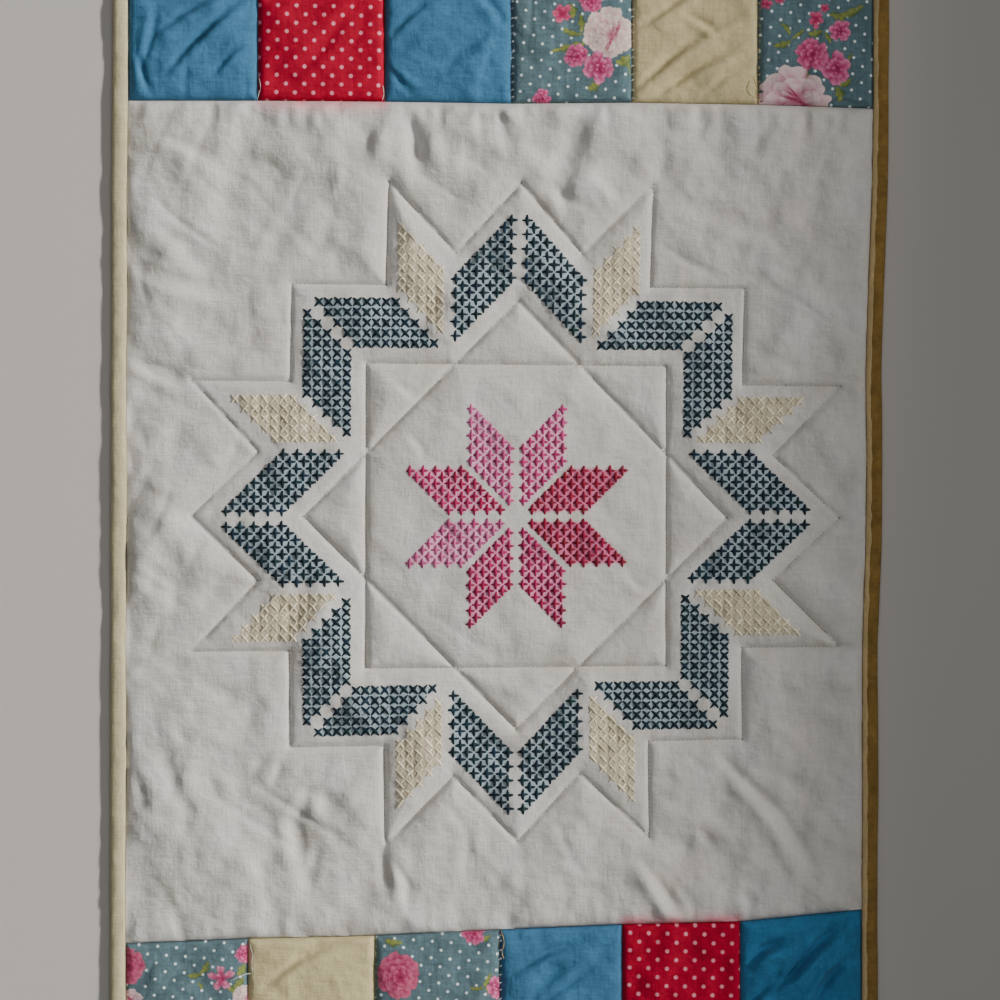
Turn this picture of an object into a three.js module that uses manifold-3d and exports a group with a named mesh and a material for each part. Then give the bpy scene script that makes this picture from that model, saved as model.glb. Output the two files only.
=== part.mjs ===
// Star quilt panel, lying flat: a white cotton block quilted with a star wheel outline,
// a row of six square patches above it and another below, and a narrow binding all round.
// Millimetres. +X to the right and +Y to the top of the quilt as it is looked down on,
// +Z up off the table. The origin is under the middle of the panel, on the table.
import * as THREE from 'three';
import Module from 'manifold-3d';
import { mergeVertices } from 'three/addons/utils/BufferGeometryUtils.js';

const wasm = await Module();
wasm.setup();

// Pieces
const PATCH = 76.2;          // finished side of a square patch, 3 inches
const PATCH_COUNT = 6;       // patches in a row
const BINDING_WIDTH = 9.5;
const GAP = 0.3;             // between neighbouring pieces
const PATCH_CELLS = 6;       // cells of the surface across one patch
const BLOCK_ROWS = 36;       // cells of the surface down the block, four to a side station

// Heights over the table
const SEAM_Z = 3.4;          // where a piece dips into its seam
const LINE_Z = 4.4;          // cloth beside a line of quilting
const STITCH_Z = 2.4;        // bottom of the sewn channel itself
const PUFF_Z = 7.0;          // wadding between the lines
const PATCH_Z = 6.0;         // middle of a patch
const BINDING_Z = 5.0;
const CUT_Z = 14;            // top of the wedges that cut the channels

const PUFF_REACH = 22;       // distance from a line at which the wadding is full height
const CHANNEL_SLOPE = 1.15;  // half width of a channel for each millimetre of its depth
const MITRE_LIMIT = 1.5;
const MERGE_WITHIN = 1e-5;    // vertices nearer than this are one

// Soft unevenness of the loose cloth: two waves across it, by their lengths over two pi
const WAVE = { height: 0.55, acrossX: 21, acrossY: 34, alongY: 17, alongX: 47 };
const PATCH_WAVE = { height: 0.35, across: 5, along: 4, shiftAcross: 2.1, shiftAlong: 1.3 };
const BINDING_WAVE = { width: 0.3, widthStep: 1.9, height: 0.25, heightStep: 2.7 };
const CROWN_POWER = 3;       // how squarely a patch swells between its seams

// Seams between the patches, where they meet the block: the top row's, then the bottom row's
const SEAMS = [
  { topX: -222.6, topY: 252.6, bottomX: -224.1, bottomY: -252.6 },
  { topX: -144.9, topY: 252.6, bottomX: -150.9, bottomY: -249.6 },
  { topX: -68.7, topY: 252.0, bottomX: -74.7, bottomY: -247.8 },
  { topX: 7.5, topY: 250.8, bottomX: 0.3, bottomY: -244.2 },
  { topX: 79.5, topY: 251.4, bottomX: 73.5, bottomY: -241.2 },
  { topX: 155.1, topY: 250.2, bottomX: 144.3, bottomY: -239.4 },
  { topX: 224.1, topY: 247.8, bottomX: 217.2, bottomY: -232.2 },
];

// The block's sides at even stations from top to bottom, drawn in a little by the quilting
const SIDES = [
  { left: -222.6, right: 224.1 },
  { left: -223.4, right: 223.2 },
  { left: -223.0, right: 221.1 },
  { left: -223.7, right: 219.5 },
  { left: -223.2, right: 220.2 },
  { left: -223.6, right: 219.3 },
  { left: -224.0, right: 217.5 },
  { left: -223.5, right: 217.5 },
  { left: -224.2, right: 217.5 },
  { left: -224.1, right: 217.2 },
];

// The star wheel, drawn flat about its own centre before it is laid
const STAR_CENTRE = { x: 9.5, y: 3.0 };
const TIP = 194.4;           // out to the points of the wheel
const SHOULDER = 79.2;       // sideways to the corner points
const NOTCH_IN = 37.8;       // sideways to the notch between two points
const NOTCH_OUT = 154.2;     // out to that notch
const STEP = 135.6;          // the square steps on the diagonals
const SQUARE = 90;           // half side of the inner square
const DIAMOND = 127;         // half diagonal of the inner diamond

// How the star lies: leaning and stretched a little by handling
const LEAN = { top: -0.010, gain: 0.056, from: 130, over: 375 };
const DRIFT = { up: 3.9, down: 1.2, over: 200 };
const STRETCH = 0.03;

// Main creases of the loose cloth, each along its points, deepest in the middle
const CREASES = [
  { depth: 2.4, width: 8, points: [[132, -140], [149, -157], [167, -174], [183, -199], [191, -210]] },
  { depth: 2.2, width: 7, points: [[84, -200], [103, -227], [116, -239]] },
  { depth: 1.2, width: 9, points: [[164, -148], [185, -162], [207, -177]] },
  { depth: 2.0, width: 8, points: [[-209, -110], [-199, -146], [-188, -172], [-183, -189]] },
  { depth: 1.5, width: 7, points: [[-219, -146], [-214, -164], [-209, -176]] },
  { depth: 1.8, width: 8, points: [[-112, -163], [-123, -180], [-118, -204], [-118, -230]] },
  { depth: 1.6, width: 6, points: [[-64, -200], [-56, -216], [-54, -232]] },
  { depth: 2.0, width: 7, points: [[-58, 246], [-52, 226], [-47, 206]] },
  { depth: 1.8, width: 6, points: [[-80, 232], [-81, 222], [-80, 214]] },
  { depth: 2.2, width: 8, points: [[49, 246], [43, 224], [35, 202]] },
  { depth: 1.3, width: 9, points: [[162, 238], [154, 228], [149, 218]] },
  { depth: 1.6, width: 9, points: [[-220, 156], [-196, 144], [-172, 139], [-148, 148]] },
  { depth: 1.8, width: 7, points: [[-223, 98], [-204, 90], [-186, 84]] },
  { depth: 1.6, width: 7, points: [[-222, -95], [-204, -86], [-186, -81]] },
];

const COLOURS = {
  white: 0xc9c8c4,
  blue: 0x4e7d9c,
  red: 0xae1c38,
  rosePrint: 0x5f7478,
  cream: 0xa9a07e,
  binding: 0xab9f7d,
};

const TOP_ROW = ['blue', 'red', 'blue', 'rosePrint', 'cream', 'rosePrint'];
const BOTTOM_ROW = ['rosePrint', 'cream', 'rosePrint', 'blue', 'red', 'blue'];

function material(colour) {
  return new THREE.MeshStandardMaterial({ color: COLOURS[colour], roughness: 0.92, metalness: 0 });
}

function mix(a, b, part) {
  return a + (b - a) * part;
}

// Where a point of the drawn star lies on the table
function lay(u, v) {
  const lean = LEAN.top + LEAN.gain * Math.max((LEAN.from - v) / LEAN.over, 0) ** 2;
  const drift = (v > 0 ? DRIFT.up : DRIFT.down) * (v / DRIFT.over) ** 2;
  const stretch = v > 0 ? (STRETCH * v * v) / TIP : 0;
  return [STAR_CENTRE.x + u + drift, STAR_CENTRE.y + v + stretch + u * lean];
}

// The points of one quarter of a figure, repeated for the other three quarters
function quarters(points) {
  const turns = [([u, v]) => [u, v], ([u, v]) => [v, -u], ([u, v]) => [-u, -v], ([u, v]) => [-v, u]];
  return turns.flatMap((turn) => points.map(turn));
}

const STAR = quarters([
  [0, TIP], [NOTCH_IN, NOTCH_OUT], [SHOULDER, TIP], [SHOULDER, STEP],
  [STEP, STEP], [STEP, SHOULDER], [TIP, SHOULDER], [NOTCH_OUT, NOTCH_IN],
]);
const INNER_SQUARE = quarters([[SQUARE, SQUARE]]);
const INNER_DIAMOND = quarters([[0, DIAMOND]]);
const QUILTING = [STAR, INNER_SQUARE, INNER_DIAMOND].map((loop) => loop.map(([u, v]) => lay(u, v)));

function segmentDistance(x, y, [ax, ay], [bx, by]) {
  const along = ((x - ax) * (bx - ax) + (y - ay) * (by - ay)) / ((bx - ax) ** 2 + (by - ay) ** 2);
  const held = Math.min(Math.max(along, 0), 1);
  return Math.hypot(x - mix(ax, bx, held), y - mix(ay, by, held));
}

function quiltingDistance(x, y) {
  const distances = QUILTING.flatMap((loop) => loop.map((point, i) => (
    segmentDistance(x, y, point, loop[(i + 1) % loop.length])
  )));
  return Math.min(...distances);
}

// A value of a table at any part of its length, straight between its rows
function tableValue(table, column, part) {
  const place = part * (table.length - 1);
  const row = Math.min(Math.floor(place), table.length - 2);
  return mix(table[row][column], table[row + 1][column], place - row);
}

function blockPoint(s, t) {
  const top = [tableValue(SEAMS, 'topX', s), tableValue(SEAMS, 'topY', s)];
  const bottom = [tableValue(SEAMS, 'bottomX', s), tableValue(SEAMS, 'bottomY', s)];
  const straightLeft = mix(SEAMS[0].topX, SEAMS[0].bottomX, t);
  const straightRight = mix(SEAMS[PATCH_COUNT].topX, SEAMS[PATCH_COUNT].bottomX, t);
  const leftBow = tableValue(SIDES, 'left', t) - straightLeft;
  const rightBow = tableValue(SIDES, 'right', t) - straightRight;
  const x = mix(top[0], bottom[0], t) + mix(leftBow, rightBow, s);
  const insetX = (0.5 - s) * GAP;
  const insetY = (t - 0.5) * GAP;
  return [x + insetX, mix(top[1], bottom[1], t) + insetY];
}

function blockHeight(s, t) {
  const [x, y] = blockPoint(s, t);
  const width = SEAMS[PATCH_COUNT].topX - SEAMS[0].topX;
  const height = SEAMS[0].topY - SEAMS[0].bottomY;
  const edge = Math.min(s * width, (1 - s) * width, t * height, (1 - t) * height);
  const fromEdge = 1 - (1 - Math.min(edge / PUFF_REACH, 1)) ** 2;
  const fromLine = 1 - (1 - Math.min(quiltingDistance(x, y) / PUFF_REACH, 1)) ** 2;
  const puff = mix(LINE_Z, PUFF_Z, fromLine);
  const slow = Math.sin(x / WAVE.acrossX + y / WAVE.acrossY);
  const quick = Math.sin(y / WAVE.alongY - x / WAVE.alongX);
  return mix(SEAM_Z, puff + WAVE.height * (slow + quick) * fromLine, fromEdge);
}

// A closed solid with a flat bottom on the table and a surface of cells over it
function slab(columns, rows, pointAt, heightAt) {
  const positions = [];
  const index = [];
  const top = (i, j) => j * (columns + 1) + i;
  for (let j = 0; j <= rows; j += 1) {
    for (let i = 0; i <= columns; i += 1) {
      const [x, y] = pointAt(i / columns, j / rows);
      positions.push(x, y, heightAt(i / columns, j / rows));
    }
  }
  for (let j = 0; j < rows; j += 1) {
    for (let i = 0; i < columns; i += 1) {
      const [a, b, c, d] = [top(i, j), top(i + 1, j), top(i + 1, j + 1), top(i, j + 1)];
      const slant = (i + j) % 2 === 0;
      index.push(...(slant ? [a, d, c, a, c, b] : [a, d, b, b, d, c]));
    }
  }
  const rim = [];
  for (let i = 0; i < columns; i += 1) rim.push(top(i, 0));
  for (let j = 0; j < rows; j += 1) rim.push(top(columns, j));
  for (let i = columns; i > 0; i -= 1) rim.push(top(i, rows));
  for (let j = rows; j > 0; j -= 1) rim.push(top(0, j));
  const firstLow = positions.length / 3;
  rim.forEach((k) => positions.push(positions[3 * k], positions[3 * k + 1], 0));
  const middle = positions.length / 3;
  positions.push(...pointAt(0.5, 0.5), 0);
  rim.forEach((k, n) => {
    const next = (n + 1) % rim.length;
    const [low, lowNext] = [firstLow + n, firstLow + next];
    index.push(k, rim[next], lowNext, k, lowNext, low, low, lowNext, middle);
  });
  return geometryOf(positions, index);
}

function geometryOf(positions, index) {
  const geometry = new THREE.BufferGeometry();
  geometry.setAttribute('position', new THREE.Float32BufferAttribute(positions, 3));
  geometry.setIndex(index);
  return geometry;
}

// A long solid: one section, given point by point, carried along its stations
function sweep(stations, closed) {
  const size = stations[0].length;
  const index = [];
  const spans = closed ? stations.length : stations.length - 1;
  for (let i = 0; i < spans; i += 1) {
    const here = i * size;
    const there = ((i + 1) % stations.length) * size;
    for (let k = 0; k < size; k += 1) {
      const next = (k + 1) % size;
      index.push(here + k, there + k, there + next, here + k, there + next, here + next);
    }
  }
  if (!closed) {
    const last = (stations.length - 1) * size;
    for (let k = 1; k < size - 1; k += 1) {
      index.push(0, k, k + 1, last, last + k + 1, last + k);
    }
  }
  return geometryOf(stations.flat(2), index);
}

function solid(geometry) {
  const merged = mergeVertices(geometry, MERGE_WITHIN);
  return new wasm.Manifold(new wasm.Mesh({
    numProp: 3,
    vertProperties: new Float32Array(merged.attributes.position.array),
    triVerts: new Uint32Array(merged.index.array),
  }));
}

function fromSolid(body) {
  const mesh = body.getMesh();
  return geometryOf(Array.from(mesh.vertProperties), Array.from(mesh.triVerts));
}

// The sideways direction at a point of a path, lengthened at a corner up to the mitre limit
function sideways(path, i, closed) {
  const count = path.length;
  const before = closed ? path[(i + count - 1) % count] : path[Math.max(i - 1, 0)];
  const after = closed ? path[(i + 1) % count] : path[Math.min(i + 1, count - 1)];
  const into = new THREE.Vector2(path[i][0] - before[0], path[i][1] - before[1]).normalize();
  const out = new THREE.Vector2(after[0] - path[i][0], after[1] - path[i][1]).normalize();
  const mean = into.clone().add(out).normalize();
  const reach = Math.min(1 / Math.max(mean.dot(out), mean.dot(into)), MITRE_LIMIT);
  return new THREE.Vector2(-mean.y, mean.x).multiplyScalar(reach);
}

// A wedge that cuts a channel along a path: its edge at each point's floor, widening upwards
function wedge(path, closed, slope, floorAt) {
  const stations = path.map(([x, y], i) => {
    const floor = floorAt(i);
    const side = sideways(path, i, closed).multiplyScalar(slope * (CUT_Z - floor));
    return [[x, y, floor], [x - side.x, y - side.y, CUT_Z], [x + side.x, y + side.y, CUT_Z]];
  });
  return solid(sweep(stations, closed));
}

function quiltingWedges() {
  return QUILTING.map((loop) => wedge(loop, true, CHANNEL_SLOPE, () => STITCH_Z));
}

function creaseWedges() {
  return CREASES.map(({ depth, width, points }) => {
    const last = points.length - 1;
    const floorAt = (i) => (i === 0 || i === last ? PUFF_Z : PUFF_Z - depth);
    return wedge(points, false, width / 2 / depth, floorAt);
  });
}

function makeBlock() {
  const columns = PATCH_COUNT * PATCH_CELLS;
  const plain = solid(slab(columns, BLOCK_ROWS, blockPoint, blockHeight));
  const cutters = [...quiltingWedges(), ...creaseWedges()];
  return fromSolid(cutters.reduce((body, cutter) => body.subtract(cutter), plain));
}

// One patch: its near edge is the seam with the block, its far edge a patch's side away
function makePatch(row, number) {
  const [a, b] = [SEAMS[number], SEAMS[number + 1]];
  const away = row === 'top' ? 1 : -1;
  const pointAt = (s, t) => {
    const seamY = mix(a[`${row}Y`], b[`${row}Y`], s);
    const x = mix(a[`${row}X`], b[`${row}X`], s) + (0.5 - s) * GAP;
    const out = row === 'top' ? 1 - t : t;
    return [x, seamY + away * (out * PATCH + (0.5 - out) * GAP)];
  };
  const heightAt = (s, t) => {
    const swell = (part) => 1 - Math.abs(2 * part - 1) ** CROWN_POWER;
    const across = Math.sin(PATCH_WAVE.across * s + PATCH_WAVE.shiftAcross * number);
    const along = Math.sin(PATCH_WAVE.along * t + PATCH_WAVE.shiftAlong * number);
    return mix(SEAM_Z, PATCH_Z + PATCH_WAVE.height * across * along, swell(s) * swell(t));
  };
  return slab(PATCH_CELLS, PATCH_CELLS, pointAt, heightAt);
}

// The binding's section from its inner foot round to the top of its inner edge
const BINDING_SECTION = [
  { out: 0, up: 0 },
  { out: 0.88, up: 0 },
  { out: 1, up: 0.3 },
  { out: 0.97, up: 0.68 },
  { out: 0.78, up: 0.94 },
  { out: 0.42, up: 1 },
  { out: 0.1, up: 0.84 },
  { out: 0, up: 0.66 },
];

// A strip of binding along the edge points, lying on the side that the direction names
function makeBinding(edge, direction) {
  const stations = edge.map(([x, y], i) => {
    const width = BINDING_WIDTH - GAP + BINDING_WAVE.width * Math.sin(BINDING_WAVE.widthStep * i);
    const height = BINDING_Z + BINDING_WAVE.height * Math.sin(BINDING_WAVE.heightStep * i);
    return BINDING_SECTION.map(({ out, up }) => {
      const reach = GAP / 2 + out * width;
      return [x + direction.x * reach, y + direction.y * reach, up * height];
    });
  });
  return sweep(stations, false);
}

function middle(a, b) {
  return [mix(a[0], b[0], 0.5), mix(a[1], b[1], 0.5)];
}

// Points down a side, from beyond the top row's corner to beyond the bottom row's
function sideEdge(side) {
  const end = SEAMS[side === 'left' ? 0 : PATCH_COUNT];
  const blockSide = SIDES.map((station, i) => (
    [station[side], mix(end.topY, end.bottomY, i / (SIDES.length - 1))]
  ));
  const topCorner = [end.topX, end.topY + PATCH];
  const bottomCorner = [end.bottomX, end.bottomY - PATCH];
  return [
    [topCorner[0], topCorner[1] + BINDING_WIDTH],
    topCorner,
    middle(topCorner, blockSide[0]),
    ...blockSide,
    middle(blockSide[blockSide.length - 1], bottomCorner),
    bottomCorner,
    [bottomCorner[0], bottomCorner[1] - BINDING_WIDTH],
  ];
}

// Points along the outer edge of a row of patches, short of the side bindings by the gap
function rowEdge(row) {
  const away = row === 'top' ? PATCH : -PATCH;
  const points = SEAMS.map((seam) => [seam[`${row}X`], seam[`${row}Y`] + away]);
  const all = points.flatMap((point, i) => (i === 0 ? [point] : [middle(points[i - 1], point), point]));
  all[0][0] += GAP / 2;
  all[all.length - 1][0] -= GAP / 2;
  return all;
}

function named(name, geometry, colour) {
  const mesh = new THREE.Mesh(geometry, material(colour));
  mesh.name = name;
  return mesh;
}

const quilt = new THREE.Group();
quilt.add(named('block', makeBlock(), 'white'));
for (let number = 0; number < PATCH_COUNT; number += 1) {
  quilt.add(named(`patch_top_${number + 1}`, makePatch('top', number), TOP_ROW[number]));
  quilt.add(named(`patch_bottom_${number + 1}`, makePatch('bottom', number), BOTTOM_ROW[number]));
}
quilt.add(named('binding_left', makeBinding(sideEdge('left'), { x: -1, y: 0 }), 'binding'));
quilt.add(named('binding_right', makeBinding(sideEdge('right').reverse(), { x: 1, y: 0 }), 'binding'));
quilt.add(named('binding_top', makeBinding(rowEdge('top').reverse(), { x: 0, y: 1 }), 'binding'));
quilt.add(named('binding_bottom', makeBinding(rowEdge('bottom'), { x: 0, y: -1 }), 'binding'));

export default quilt;
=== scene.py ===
# Star quilt panel: the looks of a flat quilted cotton panel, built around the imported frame.
import math

import bpy
import numpy as np
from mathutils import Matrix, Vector


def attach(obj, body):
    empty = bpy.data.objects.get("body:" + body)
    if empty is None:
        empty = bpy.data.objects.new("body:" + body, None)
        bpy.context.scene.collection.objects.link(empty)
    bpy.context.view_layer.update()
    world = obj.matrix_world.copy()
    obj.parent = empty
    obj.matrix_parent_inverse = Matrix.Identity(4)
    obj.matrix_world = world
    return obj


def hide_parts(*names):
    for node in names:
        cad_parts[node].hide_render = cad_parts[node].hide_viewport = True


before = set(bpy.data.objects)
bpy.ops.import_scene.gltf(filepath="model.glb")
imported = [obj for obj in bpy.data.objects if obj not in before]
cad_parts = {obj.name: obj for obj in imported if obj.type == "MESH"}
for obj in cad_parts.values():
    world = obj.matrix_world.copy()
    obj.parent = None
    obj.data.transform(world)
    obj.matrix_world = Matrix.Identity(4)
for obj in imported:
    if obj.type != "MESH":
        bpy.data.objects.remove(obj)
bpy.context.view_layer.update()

MM = 0.001
SEED = 71

# Sizes of the pieces in millimetres, as in the part's own source
PATCH = 76.2
PATCH_COUNT = 6
BINDING_WIDTH = 9.5
GAP = 0.3
LOWEST = 1.0
BLOCK_EDGE_Z = 2.5
PATCH_EDGE_Z = 1.4
PATCH_SIDE_Z = 4.7
LINE_Z = 4.4
STITCH_Z = 2.4
PUFF_Z = 7.0
PATCH_Z = 6.0
BINDING_Z = 5.0
PUFF_REACH = 22

# Seams where the patches meet the block: top x, top y, bottom x, bottom y
SEAMS = np.array([
    (-222.6, 252.6, -224.1, -252.6),
    (-144.9, 252.6, -150.9, -249.6),
    (-68.7, 252.0, -74.7, -247.8),
    (7.5, 250.8, 0.3, -244.2),
    (79.5, 251.4, 73.5, -241.2),
    (155.1, 250.2, 144.3, -239.4),
    (224.1, 247.8, 217.2, -232.2),
])
TOP_X, TOP_Y, BOTTOM_X, BOTTOM_Y = SEAMS.T

# The block's left and right sides at even stations from top to bottom
LEFT_X = np.array([-222.6, -223.4, -223.0, -223.7, -223.2, -223.6, -224.0, -223.5, -224.2, -224.1])
RIGHT_X = np.array([224.1, 223.2, 221.1, 219.5, 220.2, 219.3, 217.5, 217.5, 217.5, 217.2])

# The star wheel, drawn flat about its own centre
STAR_CENTRE = (9.5, 3.0)
TIP = 194.4
SHOULDER = 79.2
NOTCH_IN = 37.8
NOTCH_OUT = 154.2
STEP = 135.6
SQUARE = 90.0
DIAMOND = 127.0
LEAN_TOP = -0.010
LEAN_GAIN = 0.056
LEAN_FROM = 130.0
LEAN_OVER = 375.0
DRIFT_UP = 3.9
DRIFT_DOWN = 1.2
DRIFT_OVER = 200.0
STRETCH = 0.03

# The chart of crosses has its own centre. The cloth is pulled a little askew: the factors are those
# of u, v, a * a, a * b, b * b and b * b * b, where a and b are u and v as shares of the reach.
CHART_CENTRE = (10.1, 3.3)
CHART_REACH = 200.0
CHART_PULL_X = (1.0, 0.007, -0.5, 1.8, 1.1, 0.0)
CHART_PULL_Y = (0.004, 1.006, -1.25, -5.1, 1.5, 2.9)

# Creases of the loose cloth: depth, half width, side of the ridge, then its points
CREASES = [
    (2.3, 4.0, 1, [(132, -140), (149, -157), (167, -174), (183, -199), (191, -210)]),
    (2.2, 4.0, 1, [(84, -200), (103, -227), (116, -239)]),
    (0.9, 5.0, 1, [(164, -148), (185, -162), (207, -177)]),
    (1.0, 3.5, 1, [(121, -182), (127, -196)]),
    (0.8, 3.5, 1, [(148, -222), (152, -236)]),
    (1.0, 5.0, -1, [(-209, -110), (-199, -146), (-188, -172), (-183, -189)]),
    (0.6, 3.5, -1, [(-219, -146), (-214, -164), (-209, -176)]),
    (1.0, 4.0, -1, [(-174, -154), (-165, -171)]),
    (1.6, 4.5, 1, [(-112, -163), (-123, -180), (-118, -204), (-118, -230)]),
    (1.5, 3.0, 1, [(-64, -200), (-56, -216), (-54, -232)]),
    (1.0, 3.0, 1, [(-130, -140), (-133, -152), (-139, -160)]),
    (2.3, 5.0, -1, [(-56, 248), (-50, 226), (-46, 203)]),
    (1.7, 5.0, -1, [(-74, 240), (-80, 228), (-84, 212)]),
    (1.9, 7.0, -1, [(52, 248), (44, 226), (34, 200)]),
    (0.9, 3.0, 1, [(-128, 250), (-127, 232)]),
    (0.9, 3.0, 1, [(-108, 250), (-104, 230)]),
    (0.8, 2.5, 1, [(-36, 250), (-35, 236)]),
    (0.8, 2.5, 1, [(-12, 249), (-12, 234)]),
    (1.1, 2.5, -1, [(-2, 249), (3, 237)]),
    (0.9, 3.0, 1, [(65, 250), (64, 234)]),
    (1.2, 4.5, 1, [(101, 222), (97, 214), (93, 202)]),
    (1.1, 4.5, -1, [(162, 238), (154, 228), (149, 218)]),
    (0.8, 3.0, 1, [(183, 246), (183, 230)]),
    (1.0, 3.5, 1, [(-206, 232), (-192, 227), (-176, 220), (-164, 212)]),
    (1.2, 5.0, 1, [(-206, 178), (-190, 166), (-172, 152)]),
    (1.0, 5.0, -1, [(-152, 218), (-140, 214), (-126, 208)]),
    (1.1, 4.0, 1, [(32, 202), (38, 194), (44, 190)]),
    (0.9, 3.5, 1, [(63, 204), (69, 198), (74, 193)]),
    (0.8, 4.0, 1, [(1, 242), (3, 232), (5, 222)]),
    (1.0, 5.0, 1, [(-128, -182), (-122, -170), (-112, -162), (-102, -166), (-96, -178)]),
    (1.1, 4.0, 1, [(-108, -190), (-113, -212), (-114, -230)]),
    (1.4, 4.0, -1, [(-72, -190), (-68, -208), (-66, -226)]),
    (0.9, 3.5, 1, [(110, -222), (116, -230), (120, -234)]),
    (1.3, 5.0, 1, [(-220, 156), (-196, 144), (-172, 139), (-148, 148)]),
    (1.6, 3.5, 1, [(-223, 98), (-204, 90), (-186, 84)]),
    (1.3, 3.5, -1, [(-222, -95), (-204, -86), (-186, -81)]),
    (0.9, 2.5, 1, [(205, 84), (213, 85), (219, 85)]),
    (0.8, 2.5, 1, [(203, -75), (210, -76), (217, -77)]),
    (0.7, 2.5, 1, [(-62, 84), (-55, 79), (-49, 74)]),
    (0.6, 2.5, 1, [(-54, 53), (-48, 46), (-43, 38)]),
    (0.7, 2.5, 1, [(77, -32), (83, -38), (88, -41)]),
]

# The same for the folds of each patch
PATCH_CREASES = {
    ("top", 0): [
        (1.5, 2.6, 1, [(-209, 290), (-190, 305), (-176, 313), (-160, 322)]),
        (1.9, 2.8, 1, [(-200, 268), (-189, 283), (-164, 307), (-150, 316)]),
        (1.2, 2.4, -1, [(-214, 272), (-208, 294), (-205, 310)]),
        (1.3, 2.2, 1, [(-217, 282), (-213, 266), (-208, 254)]),
        (1.0, 2.2, 1, [(-172, 268), (-161, 281), (-150, 290)]),
    ],
    ("top", 1): [(0.8, 3.2, 1, [(-122, 266), (-104, 286), (-88, 310)])],
    ("top", 2): [
        (1.2, 2.4, 1, [(-67, 290), (-54, 304), (-40, 314)]),
        (1.0, 2.2, -1, [(-66, 272), (-58, 262), (-50, 256)]),
        (1.0, 2.6, 1, [(-14, 318), (-4, 309), (5, 298)]),
        (0.7, 3.4, 1, [(-44, 262), (-22, 282), (-4, 296)]),
    ],
    ("top", 4): [
        (2.0, 2.8, 1, [(82, 260), (103, 279), (126, 297)]),
        (1.8, 2.8, 1, [(92, 254), (114, 270), (148, 290)]),
        (1.7, 2.6, 1, [(82, 296), (101, 308), (118, 322)]),
        (1.3, 2.4, -1, [(122, 256), (136, 268), (152, 276)]),
        (1.2, 2.4, 1, [(112, 304), (128, 296), (146, 304)]),
    ],
    ("bottom", 1): [(1.6, 2.6, 1, [(-142, -279), (-120, -261), (-92, -250)])],
    ("bottom", 3): [
        (2.0, 2.6, 1, [(8, -270), (28, -258), (52, -250)]),
        (1.5, 2.6, -1, [(24, -288), (42, -276), (62, -262)]),
    ],
    ("bottom", 5): [
        (3.4, 2.8, 1, [(148, -266), (158, -256), (172, -250)]),
        (3.8, 2.8, 1, [(160, -284), (176, -270), (192, -252), (204, -242)]),
        (3.2, 2.6, -1, [(186, -290), (198, -272), (208, -262)]),
        (2.6, 2.6, 1, [(146, -292), (160, -278), (170, -270)]),
    ],
}

CREASE_SOFTNESS = 1.05
CREASE_DEPTH = 1.6
CREASE_RIDGE = 0.7

# Lumps of cloth: height, lean of x with y, squash of y, size and seed
LOOSE_LUMPS = [(2.3, 0.0, 0.7, 52, 3), (1.38, 0.3, 0.6, 25, 4), (1.2, -0.3, 0.7, 13, 5),
               (0.52, 0.0, 1.0, 6.5, 6), (0.2, 0.0, 1.0, 3.4, 10)]
PLEATS = [(1.0, 0.0, 0.22, 7.5, 7), (0.5, 0.0, 0.3, 4.0, 8)]
TUCKS = [(1.0, 0.0, 1.0, 4.2, 1), (0.6, 0.0, 1.0, 2.3, 2)]
LINES_APART = 37.0
SCALLOPS = [(1.0, 0.0, 0.1, 4.4, 12), (0.5, 0.0, 0.1, 2.6, 13)]
PATCH_LUMPS = [(0.8, 0.4, 0.8, 24, 0), (0.34, 0.0, 1.0, 9, 1), (0.22, 0.3, 1.0, 5, 5),
               (0.08, 0.0, 1.0, 2.7, 6)]

# Folds and thin creases of cloth: height, turn in degrees, size across, size along and seed
LOOSE_FOLDS = [(2.1, -28, 17, 50, 11), (1.89, 74, 19, 52, 14), (0.84, 35, 9, 24, 17)]
INNER_FOLDS = [(0.6, 48, 8, 20, 40), (0.6, -40, 8, 20, 43)]
LOOSE_CREASES = [(0.85, -32, 20, 80, 50), (0.85, 68, 22, 70, 52), (0.85, 105, 26, 60, 54)]
PATCH_FOLDS = [(1.5, 0, 12, 46, 7), (0.5, -90, 8, 24, 10)]
PATCH_THIN_CREASES = [(0.8, 8, 17, 80, 13)]

# What fades with the distance from a line or an edge: height, then reach in millimetres
VALLEY = (0.35, 3.0)
GROOVE = (0.7, 0.75)
TUCK = (0.45, 7.0)
TUCK_START = 1.5
LEFT_DIP = (3.0, 16)
TOP_PLEAT, BOTTOM_PLEAT = (1.7, 15), (1.1, 11)
TOP_SCALLOP, BOTTOM_SCALLOP = (1.0, 7), (1.0, 6)
LEFT_PLEAT, RIGHT_PLEAT = (0.6, 9), (1.1, 14)
SIDE_SQUASH, SIDE_PLEAT = 0.25, 7.0
PATCH_PUCKER = (0.85, 6)
PUCKER_SQUASH, PUCKER_SIZE = 0.3, 5.0
BLOCK_ROLL = 2.6
PATCH_ROLL = 1.5

# The cloth is calm at the star and loose away from it, in millimetres from the star's middle
CALM_CENTRE = (9, 3)
CALM_REACH = 55
CALM_FADE = 90
CALM_SHARE = 0.35
INNER_REACH = 170
INNER_FADE = 60
INNER_SHARE = 0.25

# Cells of the surfaces in millimetres
CLOTH_CELL = 1.6
PATCH_CELL = 1.2
PRINT_CELL = 0.55

# Cross-stitch threads in millimetres: half length across and along, width and height
CROSS_SIZES = {
    "ring": (2.85, 2.9, 1.7, 0.62),
    "pair": (3.8, 3.8, 1.85, 0.62),
    "cream": (2.6, 2.8, 1.4, 0.6),
    "star": (3.2, 3.6, 1.75, 0.62),
}


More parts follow.
